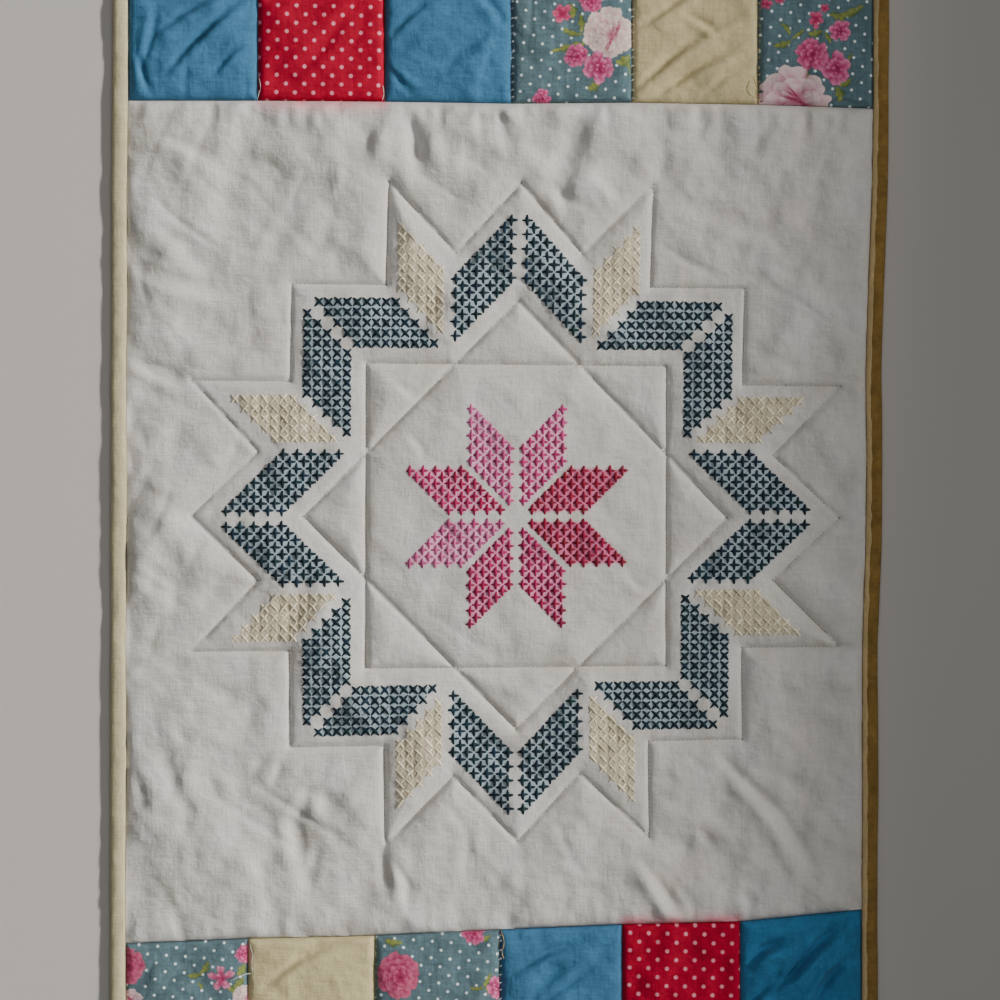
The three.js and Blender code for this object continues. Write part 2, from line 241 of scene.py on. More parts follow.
def srgb(red, green, blue):
    """A colour read off as 0 to 255, as linear red, green and blue."""
    shares = np.array((red, green, blue)) / 255.0
    return tuple(np.where(shares <= 0.04045, shares / 12.92, ((shares + 0.055) / 1.055) ** 2.4))


def mix(a, b, part):
    return a + (b - a) * part


NOISE_CELLS = 64


def noise(x, y, size, seed):
    """Soft noise from -1 to 1 whose lumps are about size across."""
    table = np.random.default_rng(SEED + seed).uniform(-1, 1, (NOISE_CELLS, NOISE_CELLS))
    u, v = np.asarray(x) / size, np.asarray(y) / size
    i, j = np.floor(u).astype(int), np.floor(v).astype(int)
    s, t = u - i, v - j
    s, t = s * s * (3 - 2 * s), t * t * (3 - 2 * t)

    def corner(a, b):
        return table[(i + a) % NOISE_CELLS, (j + b) % NOISE_CELLS]

    return mix(mix(corner(0, 0), corner(1, 0), s), mix(corner(0, 1), corner(1, 1), s), t)


def turned(x, y, turn):
    """The place in axes turned by an angle in radians."""
    c, s = math.cos(turn), math.sin(turn)
    return x * c + y * s, -x * s + y * c


def folded(x, y, turn, across, along, seed):
    """Soft folds from -1 to 1 that run in one direction and break off here and there."""
    u, v = turned(x, y, math.radians(turn))
    u = u / along * across
    wave = noise(u, v, across, seed)
    finer = noise(u + 91, v + 17, 0.55 * across, seed + 1)
    where = np.clip(0.7 + 0.9 * noise(x, y, 2.6 * across, seed + 2), 0.15, 1)
    return (0.8 * wave + 0.3 * finer) * where


def creased(x, y, turn, across, along, seed):
    """Thin creases from 0 to 1 that wander in one direction and fade out."""
    u, v = turned(x, y, math.radians(turn))
    wave = noise(u / along * across, v, across, seed)
    where = np.clip(0.1 + 1.7 * noise(x, y, 1.8 * across, seed + 1), 0, 1)
    return np.exp(-((wave / 0.2) ** 2)) * where


def lumps(x, y, table, seed=0):
    """The lumps of a table, laid over each other."""
    return sum(high * noise(x + lean * y, squash * y, size, seed + number)
               for high, lean, squash, size, number in table)


def layers(kind, x, y, table, turn=0, seed=0):
    """Folds or thin creases of a table, laid over each other."""
    return sum(high * kind(x, y, turn + more, across, along, seed + number)
               for high, more, across, along, number in table)


def fading(height_and_reach, distance):
    """A height that fades with the distance over its reach."""
    height, reach = height_and_reach
    return height * np.exp(-distance / reach)


# Laying the drawn star

def lay(u, v):
    """Where a point of the drawn star lies on the table."""
    u, v = np.asarray(u, float), np.asarray(v, float)
    lean = LEAN_TOP + LEAN_GAIN * np.maximum((LEAN_FROM - v) / LEAN_OVER, 0) ** 2
    drift = np.where(v > 0, DRIFT_UP, DRIFT_DOWN) * (v / DRIFT_OVER) ** 2
    stretch = np.where(v > 0, STRETCH * v * v / TIP, 0)
    return STAR_CENTRE[0] + u + drift, STAR_CENTRE[1] + v + stretch + u * lean


def lay_stitch(u, v):
    """Where a cross of the drawn chart lies on the table."""
    u, v = np.asarray(u, float), np.asarray(v, float)
    a, b = u / CHART_REACH, v / CHART_REACH
    terms = (u, v, a * a, a * b, b * b, b ** 3)
    x, y = (sum(factor * term for factor, term in zip(pull, terms)) for pull in (CHART_PULL_X, CHART_PULL_Y))
    return CHART_CENTRE[0] + x, CHART_CENTRE[1] + y


def quarters(points):
    """The points of one quarter of a figure, repeated for the other three quarters."""
    turns = [lambda u, v: (u, v), lambda u, v: (v, -u), lambda u, v: (-u, -v), lambda u, v: (-v, u)]
    return [turn(u, v) for turn in turns for u, v in points]


STAR = quarters([
    (0, TIP), (NOTCH_IN, NOTCH_OUT), (SHOULDER, TIP), (SHOULDER, STEP),
    (STEP, STEP), (STEP, SHOULDER), (TIP, SHOULDER), (NOTCH_OUT, NOTCH_IN),
])
LOOPS = [STAR, quarters([(SQUARE, SQUARE)]), quarters([(0, DIAMOND)])]


def quilting_segments():
    segments = []
    for loop in LOOPS:
        laid = [lay(u, v) for u, v in loop]
        segments += [(laid[i], laid[(i + 1) % len(laid)]) for i in range(len(laid))]
    return [(float(a[0]), float(a[1]), float(b[0]), float(b[1])) for a, b in segments]


SEGMENTS = quilting_segments()
FAR = 1e9


def to_segment(x, y, ax, ay, bx, by):
    """Distance to a segment, the share along it and the side it lies on."""
    dx, dy = bx - ax, by - ay
    share = np.clip(((x - ax) * dx + (y - ay) * dy) / (dx * dx + dy * dy), 0, 1)
    px, py = ax + share * dx, ay + share * dy
    return np.hypot(x - px, y - py), share, np.sign((x - ax) * dy - (y - ay) * dx), px, py


def nearest_segment(x, y, segments):
    """The nearest segment: distance, number, share along it, side and the nearest point on it."""
    best = [np.full(np.shape(x), FAR)] + [np.zeros(np.shape(x))] * 5
    for number, ends in enumerate(segments):
        distance, *rest = to_segment(x, y, *ends)
        closer = distance < best[0]
        best = [np.where(closer, new, old) for new, old in zip((distance, number, *rest), best)]
    return best


def nearest_quilting(x, y):
    """Distance to the nearest line of quilting, the length along it, its number and its point."""
    distance, number, share, _, near_x, near_y = nearest_segment(x, y, SEGMENTS)
    lengths = np.array([math.hypot(bx - ax, by - ay) for ax, ay, bx, by in SEGMENTS])
    return distance, share * lengths[number.astype(int)], number, near_x, near_y


# The block's surface

def block_point(s, t):
    """A point of the block: s across from the left, t down from the top."""
    stations = np.linspace(0, 1, PATCH_COUNT + 1)
    top_x, top_y = np.interp(s, stations, TOP_X), np.interp(s, stations, TOP_Y)
    bottom_x, bottom_y = np.interp(s, stations, BOTTOM_X), np.interp(s, stations, BOTTOM_Y)
    sides = np.linspace(0, 1, len(LEFT_X))
    left_bow = np.interp(t, sides, LEFT_X) - mix(TOP_X[0], BOTTOM_X[0], t)
    right_bow = np.interp(t, sides, RIGHT_X) - mix(TOP_X[-1], BOTTOM_X[-1], t)
    x = mix(top_x, bottom_x, t) + mix(left_bow, right_bow, s) + (0.5 - s) * GAP
    return x, mix(top_y, bottom_y, t) + (t - 0.5) * GAP


def block_edges(x, y):
    """Distances from the block's top, bottom, left and right edges."""
    top = np.interp(x, TOP_X, TOP_Y) - y
    bottom = y - np.interp(x, BOTTOM_X, BOTTOM_Y)
    t = (TOP_Y[0] - y) / (TOP_Y[0] - BOTTOM_Y[0])
    sides = np.linspace(0, 1, len(LEFT_X))
    return top, bottom, x - np.interp(t, sides, LEFT_X), np.interp(t, sides, RIGHT_X) - x


def crease_height(x, y, creases):
    """The troughs of the creases, each with its ridge beside it."""
    total = np.zeros(np.shape(x))
    for depth, width, ridge_side, points in creases:
        spans = [(*a, *b) for a, b in zip(points, points[1:])]
        nearest, number, share, side, _, _ = nearest_segment(x, y, spans)
        place = (number + share) / len(spans)
        deep = np.sin(math.pi * np.clip(0.08 + 0.84 * place, 0, 1)) ** 1.4
        wide = CREASE_SOFTNESS * width * (0.75 + 0.5 * place)
        signed = nearest * side * ridge_side
        trough = -np.exp(-((signed / wide) ** 2))
        ridge = CREASE_RIDGE * np.exp(-(((signed - 1.7 * wide) / (1.3 * wide)) ** 2))
        total += CREASE_DEPTH * depth * deep * (trough + ridge)
    return total


def block_height(x, y):
    """The height of the block's surface over the table, in millimetres."""
    distance, along, number, _, _ = nearest_quilting(x, y)
    top, bottom, left, right = block_edges(x, y)
    edge = np.minimum(np.minimum(top, bottom), np.minimum(left, right))
    from_line = 1 - (1 - np.minimum(distance / PUFF_REACH, 1)) ** 2
    height = mix(LINE_Z, PUFF_Z, from_line)
    height = height - (LINE_Z - STITCH_Z) * (fading(VALLEY, distance) + fading(GROOVE, distance))
    tuck = lumps(along, number * LINES_APART, TUCKS) * (1 - np.exp(-distance / TUCK_START))
    height = height + tuck * fading(TUCK, distance)

    centre = np.hypot(x - CALM_CENTRE[0], y - CALM_CENTRE[1])
    loose = mix(CALM_SHARE, 1, np.clip((centre - CALM_REACH) / CALM_FADE, 0, 1))
    inner = np.clip((INNER_REACH - centre) / INNER_FADE, INNER_SHARE, 1)
    free = lumps(x, y, LOOSE_LUMPS) + layers(folded, x, y, LOOSE_FOLDS) - layers(creased, x, y, LOOSE_CREASES)
    height = height + from_line * (loose * free + inner * layers(folded, x, y, INNER_FOLDS))
    height = height + crease_height(x, y, CREASES) - fading(LEFT_DIP, left)

    height = height + lumps(x, y, PLEATS) * (fading(TOP_PLEAT, top) + fading(BOTTOM_PLEAT, bottom))
    height = height + lumps(x, y, SCALLOPS) * (fading(TOP_SCALLOP, top) + fading(BOTTOM_SCALLOP, bottom))
    side_pleats = noise(x * SIDE_SQUASH, y, SIDE_PLEAT, 9)
    height = height + side_pleats * (fading(LEFT_PLEAT, left) + fading(RIGHT_PLEAT, right))
    roll = np.clip(1 - np.exp(-np.maximum(edge, 0) / BLOCK_ROLL), 0, 1)
    return np.maximum(mix(BLOCK_EDGE_Z, height, roll), LOWEST)


# Meshes

def put_in_scene(name, data):
    thing = bpy.data.objects.new(name, data)
    bpy.context.scene.collection.objects.link(thing)
    return thing


def make_mesh(name, points, faces, materials, face_materials=None, sharp=None):
    mesh = bpy.data.meshes.new(name)
    mesh.from_pydata((np.asarray(points) * MM).tolist(), [], faces)
    for material in materials:
        mesh.materials.append(material)
    if face_materials is not None:
        mesh.polygons.foreach_set("material_index", face_materials)
    mesh.polygons.foreach_set("use_smooth", [True] * len(mesh.polygons))
    if sharp is not None:
        mesh.set_sharp_from_angle(angle=math.radians(sharp))
    mesh.update()
    return put_in_scene(name, mesh)


FOOT_Z = 0.5
SOLE_INSET = 0.6


def slab(name, x, y, z, materials):
    """A closed piece of quilted cloth: its surface over x, y, and a plain flat back on the table."""
    rows, columns = x.shape
    top = np.stack([x, y, z], axis=-1).reshape(-1, 3)
    at = np.arange(rows * columns).reshape(rows, columns)
    a, b, c, d = at[:-1, :-1], at[:-1, 1:], at[1:, 1:], at[1:, :-1]
    faces = np.stack([a, d, c, b], axis=-1).reshape(-1, 4).tolist()
    rim = np.concatenate([at[0, :-1], at[:-1, -1], at[-1, :0:-1], at[:0:-1, 0]])
    middle = top[:, :2].mean(axis=0)
    foot = top[rim].copy()
    foot[:, 2] = FOOT_Z
    sole = top[rim].copy()
    inwards = middle - sole[:, :2]
    sole[:, :2] += SOLE_INSET * inwards / np.linalg.norm(inwards, axis=1)[:, None]
    sole[:, 2] = 0.0
    count, first = len(rim), len(top)
    here = np.arange(count)
    after = (here + 1) % count
    walls = np.stack([rim[here], rim[after], first + after, first + here], axis=-1)
    skirt = np.stack([first + here, first + after, first + count + after, first + count + here], axis=-1)
    hub = first + 2 * count
    fan = np.stack([first + count + here, first + count + after, np.full(count, hub)], axis=-1)
    points = np.concatenate([top, foot, sole, [[middle[0], middle[1], 0.0]]])
    back_first = len(faces) + len(walls)
    faces += walls.tolist() + skirt.tolist() + fan.tolist()
    kinds = [0] * back_first + [1] * (len(faces) - back_first)
    return make_mesh(name, points, faces, materials, kinds, sharp=60)


# An arched thread at shares of its length: how far it rises, and how wide it is
STRAND_SHARES = np.array([0.0, 0.1, 0.3, 0.5, 0.7, 0.9, 1.0])
STRAND_RISES = np.array([-0.9, 0.2, 0.85, 1.0, 0.85, 0.2, -0.9])
STRAND_WIDTHS = np.array([0.35, 0.62, 0.95, 1.05, 0.95, 0.62, 0.35])


def strands(name, starts, ends, lift, widths, height, colours, material, sides=6, bows=None):
    """Short arched threads, all in one mesh: each dips into the cloth at both its ends."""
    run = ends - starts
    length = np.linalg.norm(run[:, :2], axis=1)
    forward = run[:, :2] / length[:, None]
    side = np.stack([-forward[:, 1], forward[:, 0], np.zeros(len(run))], axis=-1)
    bows = np.zeros(len(run)) if bows is None else bows
    points = []
    angles = np.arange(sides) * 2 * math.pi / sides
    for share, rise, narrow in zip(STRAND_SHARES, STRAND_RISES, STRAND_WIDTHS):
        centre = starts + run * share + side * (bows * math.sin(math.pi * share))[:, None]
        centre[:, 2] += lift * max(rise, 0) + min(rise, 0) * height
        for angle in angles:
            out = side * (math.cos(angle) * widths * narrow / 2)[:, None]
            up = np.array([0, 0, math.sin(angle) * height * (0.5 + 0.5 * narrow) / 2])
            points.append(centre + out + up)
    block = np.stack(points, axis=1)
    per = block.shape[1]
    faces = []
    rings = len(STRAND_SHARES)
    for k in range(rings - 1):
        for n in range(sides):
            after = (n + 1) % sides
            faces.append((k * sides + n, k * sides + after, (k + 1) * sides + after, (k + 1) * sides + n))
    caps = [tuple(range(sides))[::-1], tuple((rings - 1) * sides + n for n in range(sides))]
    offsets = np.arange(len(run)) * per
    quads = (np.array(faces)[None, :, ::-1] + offsets[:, None, None]).reshape(-1, 4).tolist()
    ends_faces = []
    for cap in caps:
        ends_faces += (np.array(cap)[None, ::-1] + offsets[:, None]).tolist()
    piece = make_mesh(name, block.reshape(-1, 3), quads + ends_faces, [material])
    paint(piece, "thread", np.repeat(colours, per, axis=0))
    return piece


def paint(piece, name, colours):
    """A colour at each vertex, as an attribute that the material reads."""
    layer = piece.data.color_attributes.new(name, "FLOAT_COLOR", "POINT")
    full = np.ones((len(colours), 4))
    full[:, :colours.shape[1]] = colours
    layer.data.foreach_set("color", full.astype(np.float32).ravel())


# Materials

# The weave: yarn spacing in millimetres, depth of the bump and its parts' heights as shares of that
WHITE_PITCH = 0.8
PATCH_PITCH = 0.75
WEAVE_STRENGTH = 0.75
WEAVE_DEPTH = 0.2
YARN_HEIGHT = 0.12
CROSSING_HEIGHT = 0.1
SLUB_HEIGHT = 1.7
PUCKER_HEIGHT = 3.0


class Shader:
    """A small builder of node materials."""

    def __init__(self, name, roughness=0.9, sheen=0.25):
        self.material = bpy.data.materials.new(name)
        self.material.use_nodes = True
        self.tree = self.material.node_tree
        self.surface = self.tree.nodes["Principled BSDF"]
        self.surface.inputs["Roughness"].default_value = roughness
        self.surface.inputs["Sheen Weight"].default_value = sheen
        self.surface.inputs["Sheen Roughness"].default_value = 0.5
        self.surface.inputs["Specular IOR Level"].default_value = 0.25
        self.place = self.node("ShaderNodeTexCoord").outputs["Object"]

    def node(self, kind, **settings):
        made = self.tree.nodes.new(kind)
        for key, value in settings.items():
            setattr(made, key, value)
        return made

    def put(self, socket, value):
        if isinstance(value, bpy.types.NodeSocket):
            self.tree.links.new(value, socket)
        elif isinstance(value, tuple) and len(socket.default_value) == 4:
            socket.default_value = (*value[:3], 1.0)
        else:
            socket.default_value = value

    def math(self, operation, a, b=0.0, c=0.0):
        made = self.node("ShaderNodeMath", operation=operation)
        for socket, value in zip(made.inputs, (a, b, c)):
            self.put(socket, value)
        return made.outputs[0]

    def times(self, a, b):
        return self.math("MULTIPLY", a, b)

    def plus(self, a, b):
        return self.math("ADD", a, b)

    def scaled(self, scale, turn=0.0):
        """The place on the panel in millimetres, times scale, turned about Z."""
        made = self.node("ShaderNodeMapping")
        self.put(made.inputs["Vector"], self.place)
        factors = scale if isinstance(scale, tuple) else (scale, scale, scale)
        made.inputs["Scale"].default_value = tuple(f / MM for f in factors)
        made.inputs["Rotation"].default_value = (0, 0, turn)
        return made.outputs[0]

    def noise(self, scale, detail=2.0, roughness=0.5):
        made = self.node("ShaderNodeTexNoise")
        self.put(made.inputs["Vector"], self.scaled(scale))
        made.inputs["Scale"].default_value = 1.0
        made.inputs["Detail"].default_value = detail
        made.inputs["Roughness"].default_value = roughness
        return made.outputs["Fac"]

    def ranged(self, value, low, high, to_low=0.0, to_high=1.0):
        made = self.node("ShaderNodeMapRange", clamp=True)
        for key, number in (("Value", value), ("From Min", low), ("From Max", high),
                            ("To Min", to_low), ("To Max", to_high)):
            self.put(made.inputs[key], number)
        return made.outputs[0]

    def mixed(self, part, a, b, blend="MIX"):
        made = self.node("ShaderNodeMix", data_type="RGBA", blend_type=blend)
        self.put(made.inputs["Factor"], part)
        self.put(made.inputs[6], a)
        self.put(made.inputs[7], b)
        return made.outputs[2]

    def axes(self, vector):
        made = self.node("ShaderNodeSeparateXYZ")
        self.put(made.inputs[0], vector)
        return made.outputs

    def attribute(self, name):
        return self.node("ShaderNodeAttribute", attribute_name=name)

    def shaded(self, colour, value):
        """The colour, brighter or darker by the value."""
        joined = self.node("ShaderNodeCombineColor")
        for socket in joined.inputs:
            self.put(socket, value)
        return self.mixed(1.0, colour, joined.outputs[0], "MULTIPLY")

    def weave(self, pitch):
        """The height of a plain weave with uneven yarns."""
        x, y, _ = self.axes(self.scaled(1.0))
        wobble = self.times(self.noise((0.35, 0.35, 1.0), 1.0), 0.5)
        u = self.times(self.plus(x, wobble), math.pi / pitch)
        v = self.times(self.plus(y, wobble), math.pi / pitch)
        warp = self.math("ABSOLUTE", self.math("SINE", u))
        weft = self.math("ABSOLUTE", self.math("SINE", v))
        over = self.times(self.math("SINE", u), self.math("SINE", v))
        crossing = self.times(over, CROSSING_HEIGHT)
        yarns = self.times(self.plus(warp, weft), YARN_HEIGHT)
        thick = [self.noise(scale, 3.0, 0.6) for scale in ((0.6, 0.07, 1.0), (0.07, 0.6, 1.0))]
        slubs = self.times(self.plus(*thick), SLUB_HEIGHT)
        puckers = self.times(self.noise(0.3, 3.0), PUCKER_HEIGHT)
        return self.plus(self.plus(yarns, crossing), self.plus(slubs, puckers))

    def woven(self, colour, pitch):
        return self.finish(colour, self.weave(pitch), WEAVE_STRENGTH, WEAVE_DEPTH)

    def finish(self, colour, height, strength, distance):
        self.put(self.surface.inputs["Base Color"], colour)
        bump = self.node("ShaderNodeBump")
        bump.inputs["Strength"].default_value = strength
        bump.inputs["Distance"].default_value = distance * MM
        self.put(bump.inputs["Height"], height)
        self.put(self.surface.inputs["Normal"], bump.outputs[0])
        return self.material


def mottled(shader, colour, fine=0.06, broad=0.05, size=0.09):
    """A cloth colour that varies with its yarns, fine, and with wear, broad."""
    def varied(scale, detail, roughness, amount):
        return shader.ranged(shader.noise(scale, detail, roughness), 0.3, 0.7, 1 - amount, 1 + amount)

    warp = varied((0.5, 0.05, 1.0), 3.0, 0.7, fine)
    weft = varied((0.05, 0.5, 1.0), 3.0, 0.7, fine)
    grain = varied(0.5, 3.0, 0.7, 0.6 * fine)
    wear = varied(size, 4.0, 0.6, broad)
    return shader.shaded(colour, shader.times(shader.times(warp, weft), shader.times(grain, wear)))


# The soft edge of a printed dot and how ragged it is, in millimetres
DOT_EDGE = 0.22
DOT_RAGGED = 0.3


def dots(shader, pitch_x, pitch_y, radius, turn=0.0):
    """Staggered dots: 1 inside a dot, 0 outside."""
    x, y, _ = shader.axes(shader.scaled(1.0, turn))

    def lattice(off):
        squares = []
        for value, pitch in ((x, pitch_x), (y, 2 * pitch_y)):
            cell = shader.math("FRACT", shader.plus(shader.math("DIVIDE", value, pitch), off))
            away = shader.times(shader.math("SUBTRACT", cell, 0.5), pitch)
            squares.append(shader.times(away, away))
        return shader.math("SQRT", shader.plus(*squares))

    nearest = shader.math("MINIMUM", lattice(0.0), lattice(0.5))
    ragged = shader.times(shader.noise(1.6, 1.0), DOT_RAGGED)
    middle = radius + DOT_RAGGED / 2
    return shader.ranged(shader.plus(nearest, ragged), middle - DOT_EDGE, middle + DOT_EDGE, 1.0, 0.0)


def white_cotton():
    shader = Shader("white_cotton", 0.92, 0.15)
    tint = shader.attribute("tint")
    warm = shader.ranged(shader.noise(0.03, 3.0), 0.35, 0.65)
    cloth = shader.mixed(warm, srgb(210, 206, 200), srgb(206, 200, 190))
    cloth = shader.mixed(tint.outputs["Alpha"], cloth, tint.outputs["Color"])
    return shader.woven(mottled(shader, cloth, 0.045, 0.03), WHITE_PITCH)


def plain_cotton(name, colour, fine, broad):
    shader = Shader(name, 0.9, 0.05)
    cloth = mottled(shader, srgb(*colour), fine, broad)
    return shader.woven(cloth, PATCH_PITCH)


def dotted_cotton():
    shader = Shader("red_dot_cotton", 0.9, 0.0)
    ground = mottled(shader, srgb(173, 0, 43), 0.12, 0.16)
    spots = dots(shader, 11.1, 5.2, 1.2, 0.02)
    colour = shader.mixed(spots, ground, srgb(240, 146, 164))
    return shader.woven(colour, PATCH_PITCH)


def print_cotton():
    shader = Shader("rose_print_cotton", 0.9, 0.12)
    ground = mottled(shader, srgb(90, 114, 120), 0.14, 0.2, (0.12, 0.05, 1.0))
    colour = shader.mixed(dots(shader, 11.3, 4.87, 0.85, 0.07), ground, srgb(232, 240, 238))
    flowers = shader.attribute("print")
    colour = shader.mixed(flowers.outputs["Alpha"], colour, flowers.outputs["Color"])
    return shader.woven(colour, PATCH_PITCH)


def thread_cotton(name, roughness=0.62):
    """Stranded thread that takes its colour from the piece."""
    shader = Shader(name, roughness, 0.08)
    base = shader.attribute("thread").outputs["Color"]
    twist = shader.noise((1.9, 1.9, 0.7), 3.0, 0.65)
    # The twist gives the bump and the colour alike: the thread is darker in its hollows and lighter on its
    # crests, as painted shade and painted highlight
    shade = shader.ranged(twist, 0.3, 0.7, 0.72, 1.28)
    return shader.finish(shader.shaded(base, shade), twist, 0.8, 0.25)


WHITE = white_cotton()
BACKING = plain_cotton("backing_cotton", (205, 198, 184), 0.04, 0.03)
CLOTHS = {
    "blue_cotton": plain_cotton("blue_cotton", (64, 115, 149), 0.1, 0.16),
    "red_dot_cotton": dotted_cotton(),
    "rose_print_cotton": print_cotton(),
    "cream_cotton": plain_cotton("cream_cotton", (202, 187, 142), 0.06, 0.08),
}
DEEP_BLUE = plain_cotton("deep_blue_cotton", (54, 116, 156), 0.1, 0.16)
BINDING = plain_cotton("binding_cotton", (198, 184, 147), 0.06, 0.06)
# The right binding: the binding's cloth painted darker, as painted shade; its folded lip stays a lighter
# ochre
SHADED_BINDING = plain_cotton("binding_painted_shade", (138, 108, 54), 0.1, 0.25)
BINDING_LIP = plain_cotton("lip_cotton", (204, 176, 126), 0.08, 0.1)
THREAD = thread_cotton("embroidery_thread")
SEWING = thread_cotton("sewing_thread", 0.75)

ROWS = {
    "top": ["blue_cotton", "red_dot_cotton", "blue_cotton", "rose_print_cotton", "cream_cotton",
            "rose_print_cotton"],
    "bottom": ["rose_print_cotton", "cream_cotton", "rose_print_cotton", "blue_cotton", "red_dot_cotton",
               "blue_cotton"],
}


# Cross-stitch chart: each motif's crosses in millimetres about the chart's centre. Every motif is
# repeated eight times: mirrored about the diagonal, left to right and top to bottom.
MOTIFS = {
    "ring": [(118.8 - 5.73 * (k + j), 125.5 - 5.96 * k) for k in range(5) for j in range(9)],
    "pair": [(4.56 + 4.09 * c, 173.2 - 4.25 * c - 8.27 * k) for c in range(9) for k in range(5)],
    "cream": [(69.8 - 5.83 * k, 168.5 - 5.82 * j - 5.95 * k) for k in range(5) for j in range(7)],
    "star": [(27.3 - 3.86 * c, 63.6 - 3.88 * c - 7.69 * j) for c in range(7) for j in range(5)],
}
COPIES = [(swap, u, v) for swap in (False, True) for u in (1, -1) for v in (1, -1)]

# Colours of the star's points: thread at the tip, at the heart and on the outer side, then the cloth
STAR_TONES = {
    (False, -1, 1): ((200, 104, 150), (172, 38, 96), (190, 78, 130), (240, 178, 204)),
    (False, 1, 1): ((190, 70, 124), (176, 36, 94), (180, 52, 108), (238, 170, 198)),
    (True, -1, 1): ((176, 38, 96), (166, 16, 74), (148, 4, 58), (234, 152, 184)),
    (True, 1, 1): ((140, 2, 46), (150, 6, 56), (124, 0, 32), (216, 108, 144)),
    (True, -1, -1): ((186, 76, 124), (168, 48, 102), (202, 108, 152), (238, 174, 200)),
    (True, 1, -1): ((142, 2, 50), (144, 4, 54), (122, 0, 34), (212, 104, 142)),
    (False, -1, -1): ((130, 2, 46), (168, 28, 88), (158, 20, 76), (230, 144, 178)),
    (False, 1, -1): ((134, 4, 50), (162, 26, 84), (152, 14, 70), (228, 138, 174)),
}


def cross_table():
    """Every cross: its place on the drawn star, its kind and the copy of the motif it belongs to."""
    rows = []
    for kind, motif in MOTIFS.items():
        for copy in COPIES:
            swap, sign_u, sign_v = copy
            for u, v in motif:
                u, v = (v, u) if swap else (u, v)
                rows.append((sign_u * u, sign_v * v, kind, copy))
    return rows


STAR_REACH = 68.0


def star_colour(u, v, copy):
    """The thread of one cross of the star, and the cloth under it."""
    tip, heart, outer, cloth = (np.array(tone, float) for tone in STAR_TONES[copy])
    out = min(math.hypot(u, v) / STAR_REACH, 1.0)
    a, b = (abs(u), abs(v)) if copy[0] else (abs(v), abs(u))
    sidewards = min(max((b / max(a, 1.0) - 0.1) / 0.5, 0.0), 1.0)
    return mix(mix(heart, tip, out ** 1.5), outer, 0.6 * sidewards), cloth


# How far the lower thread of a cross rises, and how much further the upper one, in millimetres
LIFT_FIRST = 0.3
LIFT_STEPS = {"teal": 0.4, "cream": 0.12, "star": 0.4}
JITTER = 0.24

THREAD_KINDS = {"teal": ("ring", "pair"), "cream": ("cream",), "star": ("star",)}
UPRIGHT_ARMS = [((-1, 0), (1, 0)), ((0, -1), (0, 1))]
SLANTED_ARMS = [((-1, -1), (1, 1)), ((-1, 1), (1, -1))]

TEAL = np.array((9, 36, 46))
CREAM = np.array((230, 216, 186))
# Cloth under the motifs: in the threads' hue, and darker than the white as painted shade between the raised
# threads
TEAL_CLOTH = np.array((148, 168, 176))
CREAM_CLOTH = np.array((200, 184, 154))


def embroider():
    """The cross-stitched threads, one piece for each colour, and the tints of the cloth under them."""
    rng = np.random.default_rng(SEED)
    rows = cross_table()
    made, splats = [], []
    for name, kinds in THREAD_KINDS.items():
        starts, ends, lifts, colours, widths, bows = [], [], [], [], [], []
        for u, v, kind, copy in rows:
            if kind not in kinds:
                continue
            across, along, width, _ = CROSS_SIZES[kind]
            arms = UPRIGHT_ARMS if kind in ("pair", "star") else SLANTED_ARMS
            if name == "teal":
                base, cloth = TEAL + rng.uniform(-7, 9) + rng.uniform(-5, 5, 3), TEAL_CLOTH
            elif name == "cream":
                base, cloth = CREAM + rng.uniform(-10, 10), CREAM_CLOTH
            else:
                base, cloth = star_colour(u, v, copy)
                base = base + rng.uniform(-12, 12)
            splats.append((u, v, name, (kind, copy), tuple(cloth)))
            for number, (from_share, to_share) in enumerate(arms):
                jitter = rng.uniform(-JITTER, JITTER, 4)
                starts.append((u + across * from_share[0] + jitter[0], v + along * from_share[1] + jitter[1]))
                ends.append((u + across * to_share[0] + jitter[2], v + along * to_share[1] + jitter[3]))
                lifts.append(LIFT_FIRST + LIFT_STEPS[name] * number + rng.uniform(-0.06, 0.06))
                colours.append(srgb(*np.clip(base * rng.uniform(0.88, 1.1), 3, 250)))
                widths.append(width * rng.uniform(0.86, 1.12))
                bows.append(rng.uniform(-0.12, 0.3) if number == 0 else rng.uniform(0.1, 0.5))
        starts, ends = lay_on_block(np.array(starts)), lay_on_block(np.array(ends))
        height = CROSS_SIZES[kinds[0]][3]
        made.append(strands(f"{name}_crosses", starts, ends, np.array(lifts), np.array(widths), height,
                            np.array(colours), THREAD, bows=np.array(bows)))
    return made, splats


def lay_on_block(points):
    x, y = lay_stitch(points[:, 0], points[:, 1])
    return np.stack([x, y, block_height(x, y)], axis=-1)


# The tint of the cloth within a motif, in the threads' hue and darker than the white as painted shade,
# on a grid of cells in millimetres: how far a cross spreads it and how strongly, and the density at which it
# starts and at which it is full
TINT_CELL = 1.0
TINT_MARGIN = 10
TINT_SPAN = 9
TINT_REACH = 3.6
TINT_SHARE = 0.83
TINT_NONE = 0.55
TINT_FULL = 0.8
TINT_STRENGTH = {"teal": 0.85, "cream": 0.9, "star": 0.95}

# The block's cloth is pink beside the red patches: the reach over which the pink fades, its strength
# and colour, and the width over which it ends at the sides
BLUSH_REACH = 5.2
BLUSH_STRENGTH = 0.95
BLUSH = (238, 146, 158)
BLUSH_PAST = 4
BLUSH_FADE = 6


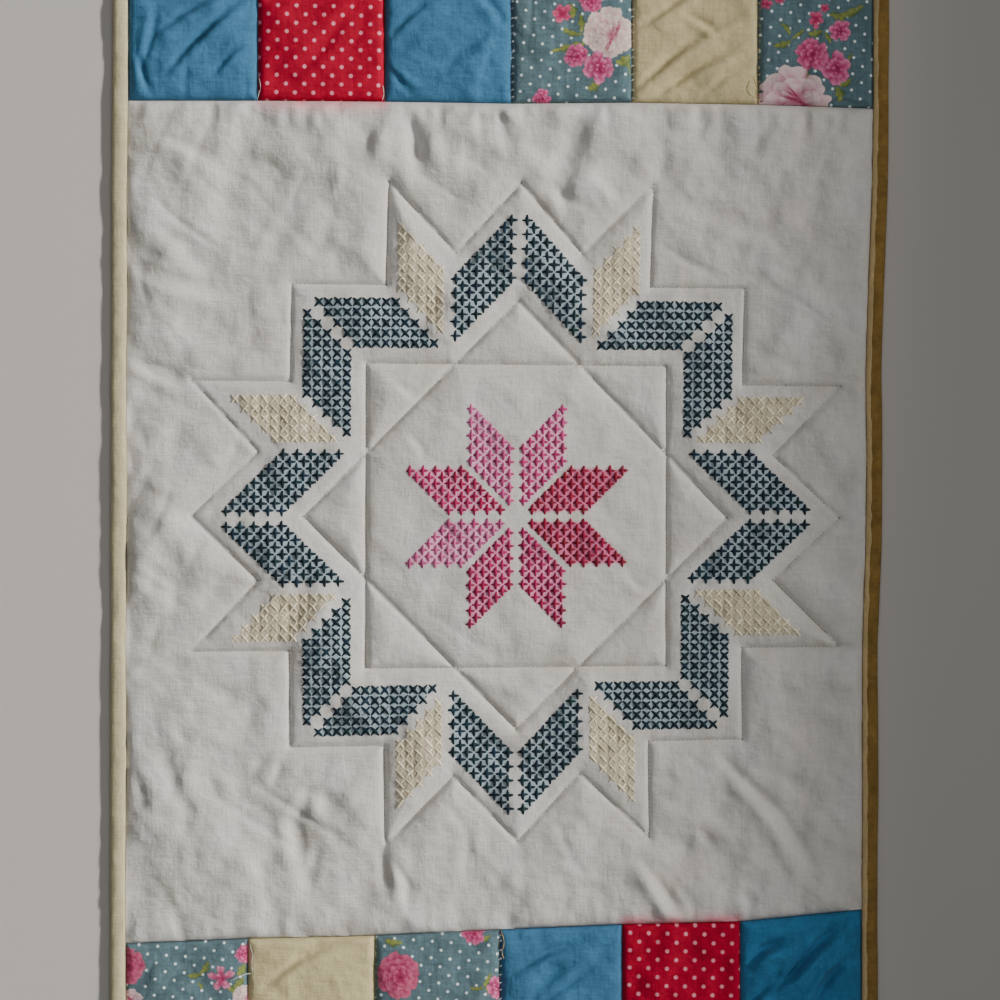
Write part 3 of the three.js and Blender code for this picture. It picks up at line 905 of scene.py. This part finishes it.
def block_tints(x, y, splats):
    """The threads' hue on the cloth between the crosses, darker than the white as painted shade, motif by
    motif.
    """
    low = np.array([x.min(), y.min()]) - TINT_MARGIN
    size = ((np.array([x.max(), y.max()]) + TINT_MARGIN - low) / TINT_CELL).astype(int) + 2
    weight = np.zeros(size)
    tone = np.full((*size, 3), 0.6)
    span = np.arange(-int(TINT_SPAN / TINT_CELL), int(TINT_SPAN / TINT_CELL) + 1)
    for group in sorted({splat[3] for splat in splats}):
        dense = np.zeros(size)
        tinted = np.full((*size, 3), 0.6)
        closest = np.full(size, 99.0)
        for u, v, name, _, cloth in [splat for splat in splats if splat[3] == group]:
            cx, cy = lay_stitch(u, v)
            gi = int((cx - low[0]) / TINT_CELL) + span[:, None]
            gj = int((cy - low[1]) / TINT_CELL) + span[None, :]
            away = np.hypot(low[0] + gi * TINT_CELL - cx, low[1] + gj * TINT_CELL - cy)
            gi, gj = np.broadcast_arrays(gi, gj)
            dense[gi, gj] += TINT_SHARE * np.exp(-((away / TINT_REACH) ** 2))
            nearer = away < closest[gi, gj]
            closest[gi[nearer], gj[nearer]] = away[nearer]
            tinted[gi[nearer], gj[nearer]] = srgb(*cloth)
        here = TINT_STRENGTH[name] * np.clip((dense - TINT_NONE) / (TINT_FULL - TINT_NONE), 0, 1)
        stronger = here > weight
        weight[stronger], tone[stronger] = here[stronger], tinted[stronger]
    i = ((x.ravel() - low[0]) / TINT_CELL).round().astype(int)
    j = ((y.ravel() - low[1]) / TINT_CELL).round().astype(int)
    tints = np.column_stack([tone[i, j], weight[i, j]])
    pink_share = blush(x.ravel(), y.ravel())
    tints[pink_share > 0.01, :3] = srgb(*BLUSH)
    tints[:, 3] = np.maximum(tints[:, 3], pink_share)
    return tints


def blush(x, y):
    """How much pink each point of the block has beside the red patches."""
    top, bottom, _, _ = block_edges(x, y)
    patchy = 0.75 + 0.4 * noise(x, y, 7, 25)
    above = np.exp(-((np.maximum(top, 0) / BLUSH_REACH) ** 2)) * beside(x, TOP_X[1], TOP_X[2])
    below = np.exp(-((np.maximum(bottom, 0) / BLUSH_REACH) ** 2)) * beside(x, BOTTOM_X[4], BOTTOM_X[5])
    return np.clip(BLUSH_STRENGTH * patchy * (above + below), 0, 1)


def beside(x, low, high):
    """1 beside a patch, from its low side to its high side, and 0 away from it."""
    after = np.clip((x - low + BLUSH_PAST) / BLUSH_FADE, 0, 1)
    return after * np.clip((high + BLUSH_PAST - x) / BLUSH_FADE, 0, 1)


BLOCK_ACROSS = 447
BLOCK_DOWN = 504
SNAP_SHARE = 0.52


def make_block(splats):
    """The block's cloth, with its mesh drawn onto the lines of quilting."""
    columns = int(round(BLOCK_ACROSS / CLOTH_CELL))
    rows = int(round(BLOCK_DOWN / CLOTH_CELL))
    s, t = np.meshgrid(np.linspace(0, 1, columns + 1), np.linspace(0, 1, rows + 1))
    x, y = block_point(s, t)
    distance, _, _, near_x, near_y = nearest_quilting(x, y)
    inner = np.zeros(x.shape, bool)
    inner[2:-2, 2:-2] = True
    snapped = inner & (distance < SNAP_SHARE * CLOTH_CELL)
    x, y = np.where(snapped, near_x, x), np.where(snapped, near_y, y)
    block = slab("block_cloth", x, y, block_height(x, y), [WHITE, BACKING])
    tints = np.zeros((len(block.data.vertices), 4))
    tints[:x.size] = block_tints(x, y, splats)
    paint(block, "tint", tints)
    return block


# Machine stitches, and dark strands between them as painted shade where the thread goes in: share of a stitch
# at which each starts and ends, how far it may lie off the line, then its colour, width and rise in
# millimetres
STITCH_LENGTH = 2.5
# The second stitch is a dark strand: painted shade in the needle holes
STITCHES = [(0.08, 0.92, 0.08, (205, 203, 198)), (0.78, 1.16, 0.0, (112, 109, 104))]
STITCH_WIDTHS = [0.42, 0.75]
STITCH_LIFTS = [0.22, 0.1]
STITCH_HEIGHT = 0.3


def quilting_stitches():
    """Machine stitches along the lines of quilting, with dark strands as painted shade where the thread goes
    in.
    """
    rng = np.random.default_rng(SEED + 1)
    starts, ends, tones = [], [], []
    for ax, ay, bx, by in SEGMENTS:
        count = max(int(math.hypot(bx - ax, by - ay) / STITCH_LENGTH), 1)
        for k in range(count):
            off = rng.uniform(-1, 1, 2)
            for first, last, loose, tone in STITCHES:
                for share, places in (((k + first) / count, starts), ((k + last) / count, ends)):
                    places.append((mix(ax, bx, share) + loose * off[0], mix(ay, by, share) + loose * off[1]))
                tones.append(srgb(*tone))
    starts, ends = np.array(starts), np.array(ends)
    starts = np.column_stack([starts, block_height(starts[:, 0], starts[:, 1])])
    ends = np.column_stack([ends, block_height(ends[:, 0], ends[:, 1])])
    colours = np.array(tones) * rng.uniform(0.85, 1.1, (len(starts), 1))
    widths, lifts = (np.tile(pair, len(starts) // 2) for pair in (STITCH_WIDTHS, STITCH_LIFTS))
    return strands("quilting_thread", starts, ends, lifts, widths, STITCH_HEIGHT, colours, SEWING, sides=4)


# Patches

def seam(row, number):
    """A patch's part of the seam: its two ends, and 1 or -1 for the way the patch lies from it."""
    a, b = SEAMS[number], SEAMS[number + 1]
    return (a[:2], b[:2], 1) if row == "top" else (a[2:], b[2:], -1)


def patch_grid(row, number, cell):
    """The grid of one patch: its points, and its shares across and away from the seam."""
    a, b, away = seam(row, number)
    steps = int(round(PATCH / cell))
    s, out = np.meshgrid(np.linspace(0, 1, steps + 1), np.linspace(1, 0, steps + 1))
    if row == "bottom":
        out = out[::-1]
    x = mix(a[0], b[0], s) + (0.5 - s) * GAP
    return x, mix(a[1], b[1], s) + away * (out * PATCH + (0.5 - out) * GAP), s, out


# The last fold of each patch: its depth, half width and spacing in millimetres
CROSS_FOLD = (0.7, 2.6, 13.0)
CROSS_FOLD_SWING = 6.5


def patch_height(x, y, s, out, seed, creases):
    """The height of a patch's surface over the table, in millimetres."""
    width = PATCH * np.minimum(s, 1 - s)
    depth = PATCH * np.minimum(out, 1 - out)
    swell = (1 - np.abs(2 * s - 1) ** 3) * (1 - np.abs(2 * out - 1) ** 3)
    turn = 48 + 16 * (seed % 3)
    height = mix(PATCH_SIDE_Z, PATCH_Z, swell) + lumps(x, y, PATCH_LUMPS, seed)
    height = height + layers(folded, x, y, PATCH_FOLDS, turn, seed)
    height = height - layers(creased, x, y, PATCH_THIN_CREASES, turn, seed) + crease_height(x, y, creases)
    height = height + noise(x, y * PUCKER_SQUASH, PUCKER_SIZE, seed + 2) * fading(PATCH_PUCKER, depth)
    height = height + noise(x * PUCKER_SQUASH, y, PUCKER_SIZE, seed + 3) * fading(PATCH_PUCKER, width)
    fold_depth, fold_width, spacing = CROSS_FOLD
    across = np.sin((x * 0.8 + y * 0.6) / spacing + seed) * CROSS_FOLD_SWING
    fold = fold_depth * np.exp(-((across / fold_width) ** 2)) * swell
    height = height - fold * np.clip(noise(x, y, 30, seed + 4) + 0.3, 0, 1)
    roll = 1 - np.exp(-np.minimum(width, depth) / PATCH_ROLL)
    return np.maximum(mix(PATCH_EDGE_Z, height, roll), LOWEST)


# Printed flowers: place on the patch as shares across and away from the seam, radius in
# millimetres, kind and turn in degrees
FLOWERS = {
    ("top", 3): [
        (0.656, 0.79, 6.8, "pink", 20), (0.417, 0.70, 6.0, "bud", 40), (0.533, 0.366, 7.2, "pink", 70),
        (0.25, 0.035, 5.4, "pink", 10), (0.805, 0.545, 14.6, "peony", 0), (0.722, 0.275, 9.2, "open", 30),
    ],
    ("top", 5): [
        (0.07, 0.79, 3.6, "bud", 80), (0.19, 0.83, 3.0, "bud", 60), (0.573, 0.77, 2.8, "bud", 60),
        (0.498, 0.68, 5.2, "bud", 50), (0.71, 0.60, 6.6, "open", 50), (0.672, 0.302, 9.6, "open", 80),
        (0.455, 0.41, 10.0, "pink", 30), (0.30, 0.06, 18.0, "spread", 90),
    ],
    ("bottom", 0): [
        (0.02, 0.173, 11.0, "rose", 0), (0.787, 0.30, 8.0, "lily", 90), (0.98, 0.11, 5.8, "pink", 20),
        (0.04, 0.44, 6.0, "spread", 30), (0.98, 0.46, 7.5, "peony", 0), (0.42, 0.74, 14.0, "peony", 40),
        (0.72, 0.82, 6.5, "pink", 0),
    ],
    ("bottom", 2): [
        (0.79, 0.015, 7.0, "pink", 60), (0.99, 0.457, 6.8, "open", 10), (0.184, 0.318, 13.6, "rose", 20),
        (0.55, 0.80, 14.0, "peony", 70), (0.24, 0.76, 6.0, "bud", 20),
    ],
}

# Leaves on the same patches: shares across and away, length, width and turn in degrees
LEAVES = {
    ("top", 3): [
        (0.50, 0.72, 10, 4.6, 105), (0.575, 0.62, 12, 3.8, 95), (0.50, 0.55, 13, 3.8, -15),
        (0.44, 0.435, 20, 3.2, 18), (0.93, 0.33, 10, 6.5, 30), (0.68, 0.13, 9, 5.5, 30),
        (0.97, 0.28, 11, 1.9, 98), (0.60, 0.48, 8, 2.6, 60),
    ],
    ("top", 5): [
        (0.80, 0.75, 19, 4.8, 24), (0.68, 0.71, 10, 4.0, 160), (0.24, 0.60, 9, 3.2, 130),
        (0.34, 0.56, 10, 2.8, 38), (0.21, 0.48, 12, 4.2, 15), (0.49, 0.575, 9, 4.2, 10),
        (0.42, 0.25, 10, 2.2, 100), (0.75, 0.19, 9, 3.8, 20), (0.70, 0.10, 10, 5.0, 105),
        (0.79, 0.39, 6, 2.0, 50), (0.60, 0.54, 8, 2.6, 120),
    ],
    ("bottom", 0): [
        (0.653, 0.21, 9, 4.2, 60), (0.57, 0.268, 9, 3.8, 8), (0.615, 0.354, 6, 2.4, 120),
        (0.95, 0.24, 9, 4.4, 60), (0.93, 0.345, 10, 4.4, 50), (0.86, 0.386, 9, 3.8, 140),
        (0.24, 0.60, 13, 4.6, 140), (0.62, 0.64, 12, 4.4, 40),
    ],
    ("bottom", 2): [
        (0.152, 0.055, 11, 4.4, -8), (0.90, 0.385, 9, 3.4, 60), (0.816, 0.45, 9, 2.8, 5),
        (0.896, 0.46, 6, 2.8, 110), (0.894, 0.06, 6, 3.0, 30), (0.32, 0.66, 13, 4.4, 30),
        (0.78, 0.68, 13, 4.6, 150),
    ],
}

# Printing colours of each kind: petal edge, petal and petal base
FLOWER_TONES = {
    "peony": ((230, 212, 200), (212, 172, 172), (172, 84, 110)),
    "spread": ((232, 208, 204), (212, 166, 174), (176, 74, 108)),
    "rose": ((206, 106, 134), (176, 60, 100), (130, 18, 60)),
    "pink": ((218, 122, 158), (186, 56, 108), (128, 12, 56)),
    "open": ((224, 136, 168), (192, 64, 118), (126, 10, 56)),
    "lily": ((228, 150, 172), (206, 96, 136), (150, 22, 70)),
    "bud": ((214, 110, 140), (188, 58, 102), (146, 20, 66)),
}

# Rings of petals from the outside in: count, base away from the heart, length and width
# as shares of the radius
PETAL_RINGS = {
    "peony": [(11, 0.34, 0.68, 0.74), (9, 0.22, 0.62, 0.66), (8, 0.10, 0.52, 0.54), (6, 0.02, 0.40, 0.40)],
    "spread": [(7, 0.16, 0.86, 1.04), (6, 0.06, 0.70, 0.80), (5, 0.02, 0.46, 0.50)],
    "rose": [(9, 0.38, 0.64, 0.84), (8, 0.24, 0.56, 0.70), (7, 0.12, 0.44, 0.56), (5, 0.02, 0.34, 0.40)],
    "pink": [(8, 0.16, 0.86, 0.82), (6, 0.08, 0.60, 0.60), (5, 0.0, 0.34, 0.36)],
    "open": [(6, 0.06, 0.96, 1.02), (6, 0.04, 0.60, 0.56), (4, 0.0, 0.30, 0.26)],
    "lily": [(5, 0.0, 1.0, 0.74), (4, 0.0, 0.55, 0.36)],
    "bud": [(5, 0.04, 0.96, 0.94), (4, 0.0, 0.6, 0.6)],
}

# How many times wider than high a flower is, where it is not round
WIDER = {"spread": 1.22, "rose": 0.94}

# Deep streaks in the heart of the widest flowers: count, turn in degrees, length and width
STREAKS = {
    "peony": (9, 62, 0.85, 0.07), "spread": (10, -38, 0.75, 0.08),
    "open": (6, 90, 0.42, 0.1), "lily": (3, 90, 0.4, 0.07),
}
STREAK_TONE = (150, 36, 78)

LEAF_LIGHT = (150, 154, 66)
LEAF_DARK = (84, 104, 52)
LEAF_COVER = 0.9


def paint_petal(colour, x, y, base, turn, length, width, tones, phase):
    """One printed petal: deep at its base, pale and ruffled at its edge, with fine veins."""
    light, middle, deep = tones
    along, across = turned(x - base[0], y - base[1], turn)
    along, across = along / length, across / (width / 2)
    ruffle = 0.05 * np.sin(3 * across + phase) + 0.03 * np.sin(8 * across + 2 * phase)
    place = along / (1 + ruffle)
    inner = np.clip(place, 0, 1)
    half = inner ** 0.6 * np.sqrt(1 - inner ** 5) * 1.05
    inside = (place > 0) & (place < 1) & (np.abs(across) < half)
    veins = np.sin(9 * across / (0.5 + inner) + 2 * phase)
    tone = mix(deep, middle, np.clip(1.5 * inner + 0.1 * veins, 0, 1)[..., None])
    tone = mix(tone, light, np.clip(2.2 * inner - 1.15 + 0.22 * veins, 0, 1)[..., None])
    rim = np.clip((np.abs(across) / np.maximum(half, 0.05) - 0.8) / 0.2, 0, 1)
    rim = rim * np.clip(1.7 - 1.5 * inner, 0, 1)
    tone = mix(tone, mix(middle, deep, 0.5), (0.45 * rim)[..., None])
    colour[inside, :3] = tone[inside]
    colour[inside, 3] = 1.0


def paint_flower(colour, x, y, cx, cy, radius, kind, turn, rng):
    """One printed flower: rings of petals laid over each other from the outside in."""
    tones = [np.array(srgb(*tone)) for tone in FLOWER_TONES[kind]]
    x = cx + (x - cx) / WIDER.get(kind, 1.0)
    heart_x, heart_y = cx, cy
    for ring, (count, start, length, width) in enumerate(PETAL_RINGS[kind]):
        step = 2 * math.pi / count
        for k in range(count):
            angle = math.radians(turn) + step * (k + 0.5 * (ring % 2)) + rng.uniform(-0.14, 0.14)
            reach = radius * length * rng.uniform(0.88, 1.1)
            base = (heart_x + radius * start * math.cos(angle), heart_y + radius * start * math.sin(angle))
            shade = rng.uniform(0.9, 1.04)
            petal = [tone * shade for tone in tones]
            paint_petal(colour, x, y, base, angle, reach, radius * width * rng.uniform(0.9, 1.12), petal,
                        rng.uniform(0, 6.28))
        heart_x += 0.04 * radius
        heart_y -= 0.03 * radius
    if kind in STREAKS:
        paint_streaks(colour, x, y, heart_x, heart_y, radius, kind, tones, rng)


def paint_streaks(colour, x, y, cx, cy, radius, kind, tones, rng):
    """Fine deep streaks that part the petals at a flower's heart."""
    count, turn, length, width = STREAKS[kind]
    deep = mix(tones[2], np.array(srgb(*STREAK_TONE)), 0.6)
    for k in range(count):
        side = 1 if k % 3 else -1
        angle = math.radians(turn) + rng.uniform(-0.35, 0.35) + (math.pi if k % 2 else 0)
        off = radius * rng.uniform(-0.12, 0.12)
        base = (cx - off * math.sin(angle), cy + side * off * math.cos(angle))
        reach = radius * length * rng.uniform(0.6, 1.0)
        paint_petal(colour, x, y, base, angle, reach, radius * width, [tones[1], deep, deep],
                    rng.uniform(0, 6.28))


def paint_leaf(colour, x, y, cx, cy, length, width, turn):
    """One printed leaf: bent, with a ragged edge and a paler vein."""
    light, dark = np.array(srgb(*LEAF_LIGHT)), np.array(srgb(*LEAF_DARK))
    u, v = turned(x - cx, y - cy, math.radians(turn))
    u, v = u / (length / 2), v / (width / 2)
    bend = 0.6 * u * u - 0.3
    bound = (1 - u * u) * (1 + 0.18 * np.sin(9 * u + 1.3))
    inside = (np.abs(u) < 1) & (np.abs(v - bend) < bound)
    vein = np.exp(-((v - bend) / 0.18) ** 2) + 0.3 * np.sin(9 * u + 3 * np.abs(v))
    tone = mix(dark, light, np.clip(0.5 + 0.4 * v + 0.4 * vein - 0.25 * u, 0, 1)[..., None])
    colour[inside, :3] = tone[inside]
    colour[inside, 3] = LEAF_COVER


def paint_print(piece, x, y, row, number):
    """The roses and leaves of one printed patch, worked out at each point of its surface."""
    rng = np.random.default_rng(SEED + 10 * number + (row == "top"))
    colour = np.zeros((*x.shape, 4))
    wavy_x, wavy_y = x + 0.35 * noise(x, y, 2.4, 21), y + 0.35 * noise(x, y, 2.4, 22)
    a, b, away = seam(row, number)

    def place(across, out):
        return mix(a[0], b[0], across), mix(a[1], b[1], across) + away * out * PATCH

    for across, out, length, width, turn in LEAVES[(row, number)]:
        paint_leaf(colour, wavy_x, wavy_y, *place(across, out), length, width, turn)
    for across, out, radius, kind, turn in FLOWERS[(row, number)]:
        paint_flower(colour, wavy_x, wavy_y, *place(across, out), radius, kind, turn, rng)
    full = np.zeros((len(piece.data.vertices), 4))
    full[:x.size] = colour.reshape(-1, 4)
    paint(piece, "print", full)


def make_patch(row, number, cloth):
    printed = cloth == "rose_print_cotton"
    x, y, s, out = patch_grid(row, number, PRINT_CELL if printed else PATCH_CELL)
    creases = PATCH_CREASES.get((row, number), [])
    height = patch_height(x, y, s, out, 30 + 7 * number + (50 if row == "top" else 0), creases)
    material = DEEP_BLUE if (row, number) == ("bottom", 5) else CLOTHS[cloth]
    piece = slab(f"{row}_patch_{number + 1}", x, y, height, [material, BACKING])
    if printed:
        paint_print(piece, x, y, row, number)
    return piece


# Binding

# Its section: share of the width away from the cloth and share of the height
BINDING_SECTION = [
    (0.05, 0.0), (0.86, 0.0), (0.95, 0.1), (1.0, 0.28), (1.0, 0.5), (0.96, 0.7), (0.86, 0.87),
    (0.7, 0.97), (0.5, 1.0), (0.3, 0.97), (0.16, 0.88), (0.06, 0.74), (0.0, 0.55), (0.0, 0.12),
]

# The faces of the section that make the folded lip beside the block
LIP_FIRST = 9
LIP_LAST = 12

# How uneven it is along its length: amount and size in millimetres
BINDING_STEP = 2.5
WIDTH_WAVE = (0.35, 38)
HEIGHT_WAVES = [(0.4, 16), (0.45, 6)]
LUMP_WAVE = (0.4, 5)
LIP_WAVE = (0.5, 5)


def side_edge(side):
    stations = LEFT_X if side == "left" else RIGHT_X
    end = SEAMS[0] if side == "left" else SEAMS[-1]
    ys = np.linspace(end[1], end[3], len(stations))
    xs = np.concatenate([[end[0], end[0]], stations, [end[2], end[2]]])
    ys = np.concatenate([[end[1] + PATCH + BINDING_WIDTH, end[1] + PATCH], ys,
                         [end[3] - PATCH, end[3] - PATCH - BINDING_WIDTH]])
    return xs, ys


def row_edge(row):
    xs = (TOP_X if row == "top" else BOTTOM_X).copy()
    ys = TOP_Y + PATCH if row == "top" else BOTTOM_Y - PATCH
    xs[0] += GAP / 2
    xs[-1] -= GAP / 2
    return xs, ys


def waved(stations, across, wave, seed):
    amount, size = wave
    return amount * noise(stations, across, size, seed)


def make_binding(name, xs, ys, out_x, out_y, seed, material, lip):
    """A folded strip along the line of xs and ys, on its outer side."""
    length = np.concatenate([[0], np.cumsum(np.hypot(np.diff(xs), np.diff(ys)))])
    stations = np.linspace(0, length[-1], int(length[-1] / BINDING_STEP) + 1)
    x, y = np.interp(stations, length, xs), np.interp(stations, length, ys)
    width = BINDING_WIDTH - GAP + waved(stations, 0, WIDTH_WAVE, seed)
    height = BINDING_Z + sum(waved(stations, 0, wave, seed + 1 + k) for k, wave in enumerate(HEIGHT_WAVES))
    points = []
    for out, up in BINDING_SECTION:
        reach = GAP / 2 + out * width
        lump = waved(stations, out * 12, LUMP_WAVE, seed + 3) if up > 0.6 else 0.0
        if up > 0.6 and out < 0.4:
            reach = np.maximum(reach + waved(stations, 0, LIP_WAVE, seed + 4), GAP / 2)
        points.append(np.stack([x + out_x * reach, y + out_y * reach, up * height + lump], axis=-1))
    rings = np.stack(points, axis=1)
    count, size = rings.shape[:2]
    at = np.arange(count * size).reshape(count, size)
    a, b = at[:-1], at[1:]
    faces = np.stack([a, np.roll(a, -1, 1), np.roll(b, -1, 1), b], axis=-1).reshape(-1, 4)
    turned = (out_x * np.gradient(y)[0] - out_y * np.gradient(x)[0]) > 0
    faces = faces if turned else faces[:, ::-1]
    caps = [at[0][::-1] if turned else at[0], at[-1] if turned else at[-1][::-1]]
    kinds = np.tile([int(LIP_FIRST <= k <= LIP_LAST) for k in range(size)], count - 1).tolist() + [0, 0]
    return make_mesh(name, rings.reshape(-1, 3), faces.tolist() + [cap.tolist() for cap in caps],
                     [material, lip], kinds, sharp=70)


# Loose ends of thread and the overcast seams of the upper patches

THREAD_ENDS = [
    ("pale", [(-144.3, 266.4), (-143.1, 259.2), (-144.9, 253.2)]),
    ("pale", [(-69.9, 261.6), (-69.3, 256.8), (-70.5, 252.6)]),
    ("golden", [(150.3, 265.2), (147.9, 259.2), (151.5, 255.0), (156.3, 251.4)]),
    ("golden", [(152.1, 267.6), (154.5, 260.4), (153.3, 254.4)]),
    ("red", [(155.4, 252.6), (156.9, 251.4), (158.4, 252.3)]),
    ("pale", [(-149.7, -252.6), (-147.9, -258.6), (-149.1, -265.2), (-147.9, -270.0)]),
    ("pale", [(-161.1, -274.8), (-155.7, -271.8), (-148.5, -270.0)]),
    ("golden", [(0.9, -244.8), (2.7, -250.8), (1.5, -256.8), (2.7, -261.6)]),
]
SEAM_TONES = {"pale": (214, 216, 210), "golden": (196, 172, 116), "red": (150, 24, 40)}

# Overcast seams: row, seam number and tone
OVERCAST = [
    ("top", 3, "pale"), ("top", 4, "pale"), ("top", 5, "golden"),
    ("bottom", 2, "golden"), ("bottom", 3, "pale"),
]
OVERCAST_FIRST = 3
OVERCAST_STEP = 4.8
OVERCAST_REACH = 1.1
OVERCAST_LEAN = 0.5
CLOTH_REACH = 1.6
THREAD_LIFT = 0.25
THREAD_WIDTH = 0.5
THREAD_HEIGHT = 0.35


def surface_over(points, pieces):
    """The points, laid on the highest cloth within reach of each."""
    cloth = []
    for piece in pieces:
        flat = np.empty(3 * len(piece.data.vertices))
        piece.data.vertices.foreach_get("co", flat)
        cloth.append(flat.reshape(-1, 3) / MM)
    cloth = np.concatenate(cloth)
    heights = []
    for x, y in points:
        near = np.hypot(cloth[:, 0] - x, cloth[:, 1] - y) < CLOTH_REACH
        heights.append(cloth[near, 2].max() if near.any() else PATCH_Z)
    return np.column_stack([points, heights])


def sewing_ends(pieces):
    """The thread ends and the overcast stitches, all in one mesh."""
    rng = np.random.default_rng(SEED + 3)
    starts, ends, tones = [], [], []
    for tone, points in THREAD_ENDS:
        for a, b in zip(points, points[1:]):
            starts.append(a)
            ends.append(b)
            tones.append(tone)
    for row, number, tone in OVERCAST:
        (x, y), _, away = seam(row, number)
        for k in range(int(PATCH / OVERCAST_STEP)):
            at = y + away * (OVERCAST_FIRST + OVERCAST_STEP * k + rng.uniform(-0.8, 0.8))
            starts.append((x - OVERCAST_REACH, at - OVERCAST_LEAN))
            ends.append((x + OVERCAST_REACH, at + OVERCAST_LEAN))
            tones.append(tone)
    starts, ends = surface_over(np.array(starts), pieces), surface_over(np.array(ends), pieces)
    count = len(tones)
    colours = np.array([srgb(*SEAM_TONES[tone]) for tone in tones]) * rng.uniform(0.8, 1.1, (count, 1))
    return strands("sewing_ends", starts, ends, np.full(count, THREAD_LIFT), np.full(count, THREAD_WIDTH),
                   THREAD_HEIGHT, colours, SEWING, sides=5, bows=rng.uniform(-0.4, 0.4, count))


# Making the pieces

def make_all():
    crosses, splats = embroider()
    block = make_block(splats)
    stitches = quilting_stitches()
    patches = {}
    for number in range(PATCH_COUNT):
        for row, cloths in ROWS.items():
            patches[(row, number)] = make_patch(row, number, cloths[number])
    bindings = {
        "left": make_binding("left_binding", *side_edge("left"), -1, 0, 61, BINDING, BINDING),
        "right": make_binding("right_binding", *side_edge("right"), 1, 0, 65, SHADED_BINDING, BINDING_LIP),
        "top": make_binding("top_binding", *row_edge("top"), 0, 1, 69, BINDING, BINDING),
        "bottom": make_binding("bottom_binding", *row_edge("bottom"), 0, -1, 73, BINDING, BINDING),
    }
    return crosses, block, [stitches, sewing_ends(patches.values())], patches, bindings


def declare(crosses, block, sewing, patches, bindings):
    for piece in [*crosses, block, *sewing, *patches.values(), *bindings.values()]:
        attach(piece, "root")
    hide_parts("block")
    for (row, number), piece in patches.items():
        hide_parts(f"patch_{row}_{number + 1}")
    for side, piece in bindings.items():
        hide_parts(f"binding_{side}")


# Stage, light and camera

# The width that the picture shows and the middle of that, in metres
PHOTO_WIDTH = 0.6
VIEW_CENTRE = (0.0003, 0.0132)
CAMERA_HEIGHT = 2.4
SENSOR = 36.0


FLOOR_REACH = 3.0
FLOOR_Z = -0.0004
FLOOR_TONE = (196, 190, 182)


def make_stage():
    mesh = bpy.data.meshes.new("floor")
    corners = [(a * FLOOR_REACH, b * FLOOR_REACH, FLOOR_Z) for a, b in ((-1, -1), (1, -1), (1, 1), (-1, 1))]
    mesh.from_pydata(corners, [], [(0, 1, 2, 3)])
    shader = Shader("floor", 0.9, 0.0)
    mesh.materials.append(shader.finish(srgb(*FLOOR_TONE), shader.noise(0.05), 0.05, 0.05))
    put_in_scene("floor", mesh)


def aim(thing, target):
    direction = Vector(target) - thing.location
    thing.rotation_euler = direction.to_track_quat("-Z", "Y").to_euler()


# The light of the window comes low from the right, as a band that ends short of the right edge
KEY_AZIMUTH = math.radians(17)
KEY_ELEVATION = math.radians(29)
KEY_AWAY = 1.7
KEY_TARGET = (-0.286, 0.0, 0.0)
KEY_LENGTH = 1.7
KEY_BREADTH = 0.42
KEY_SPREAD = math.radians(7.5)
KEY_ROLL = math.radians(-11)
KEY_ENERGY = 3.2
KEY_COLOUR = (1.0, 0.99, 0.97)
FILL_PLACE = (0.1, 0.12, 1.3)
FILL_TARGET = (-0.2, 0, 0)
FILL_COLOUR = (0.96, 0.98, 1.0)
FILL_SIZE = 1.2
FILL_ENERGY = 4.3
ROOM_STRENGTH = 0.12
ROOM_COLOUR = (0.85, 0.88, 0.92, 1)


def area_light(name, shape, size, energy, colour, place, target):
    light = bpy.data.lights.new(name, "AREA")
    light.shape = shape
    light.size = size
    light.energy = energy
    light.color = colour
    lamp = put_in_scene(name, light)
    lamp.location = place
    aim(lamp, target)
    return lamp


def make_lights():
    level = math.cos(KEY_ELEVATION)
    away = Vector((level * math.cos(KEY_AZIMUTH), level * math.sin(KEY_AZIMUTH), math.sin(KEY_ELEVATION)))
    key = area_light("window", "RECTANGLE", KEY_LENGTH, KEY_ENERGY, KEY_COLOUR,
                     Vector(KEY_TARGET) + KEY_AWAY * away, KEY_TARGET)
    key.data.size_y = KEY_BREADTH
    key.data.spread = KEY_SPREAD
    key.rotation_euler.rotate_axis("Z", KEY_ROLL)
    area_light("sky", "DISK", FILL_SIZE, FILL_ENERGY, FILL_COLOUR, FILL_PLACE, FILL_TARGET)
    world = bpy.data.worlds.new("room")
    world.use_nodes = True
    background = world.node_tree.nodes["Background"]
    background.inputs["Color"].default_value = ROOM_COLOUR
    background.inputs["Strength"].default_value = ROOM_STRENGTH
    bpy.context.scene.world = world


def make_camera():
    data = bpy.data.cameras.new("camera")
    data.sensor_width = SENSOR
    data.lens = SENSOR * CAMERA_HEIGHT / PHOTO_WIDTH
    data.clip_end = 20
    camera = put_in_scene("camera", data)
    camera.location = (*VIEW_CENTRE, CAMERA_HEIGHT)
    bpy.context.scene.camera = camera


make_camera()
declare(*make_all())
make_stage()
make_lights()
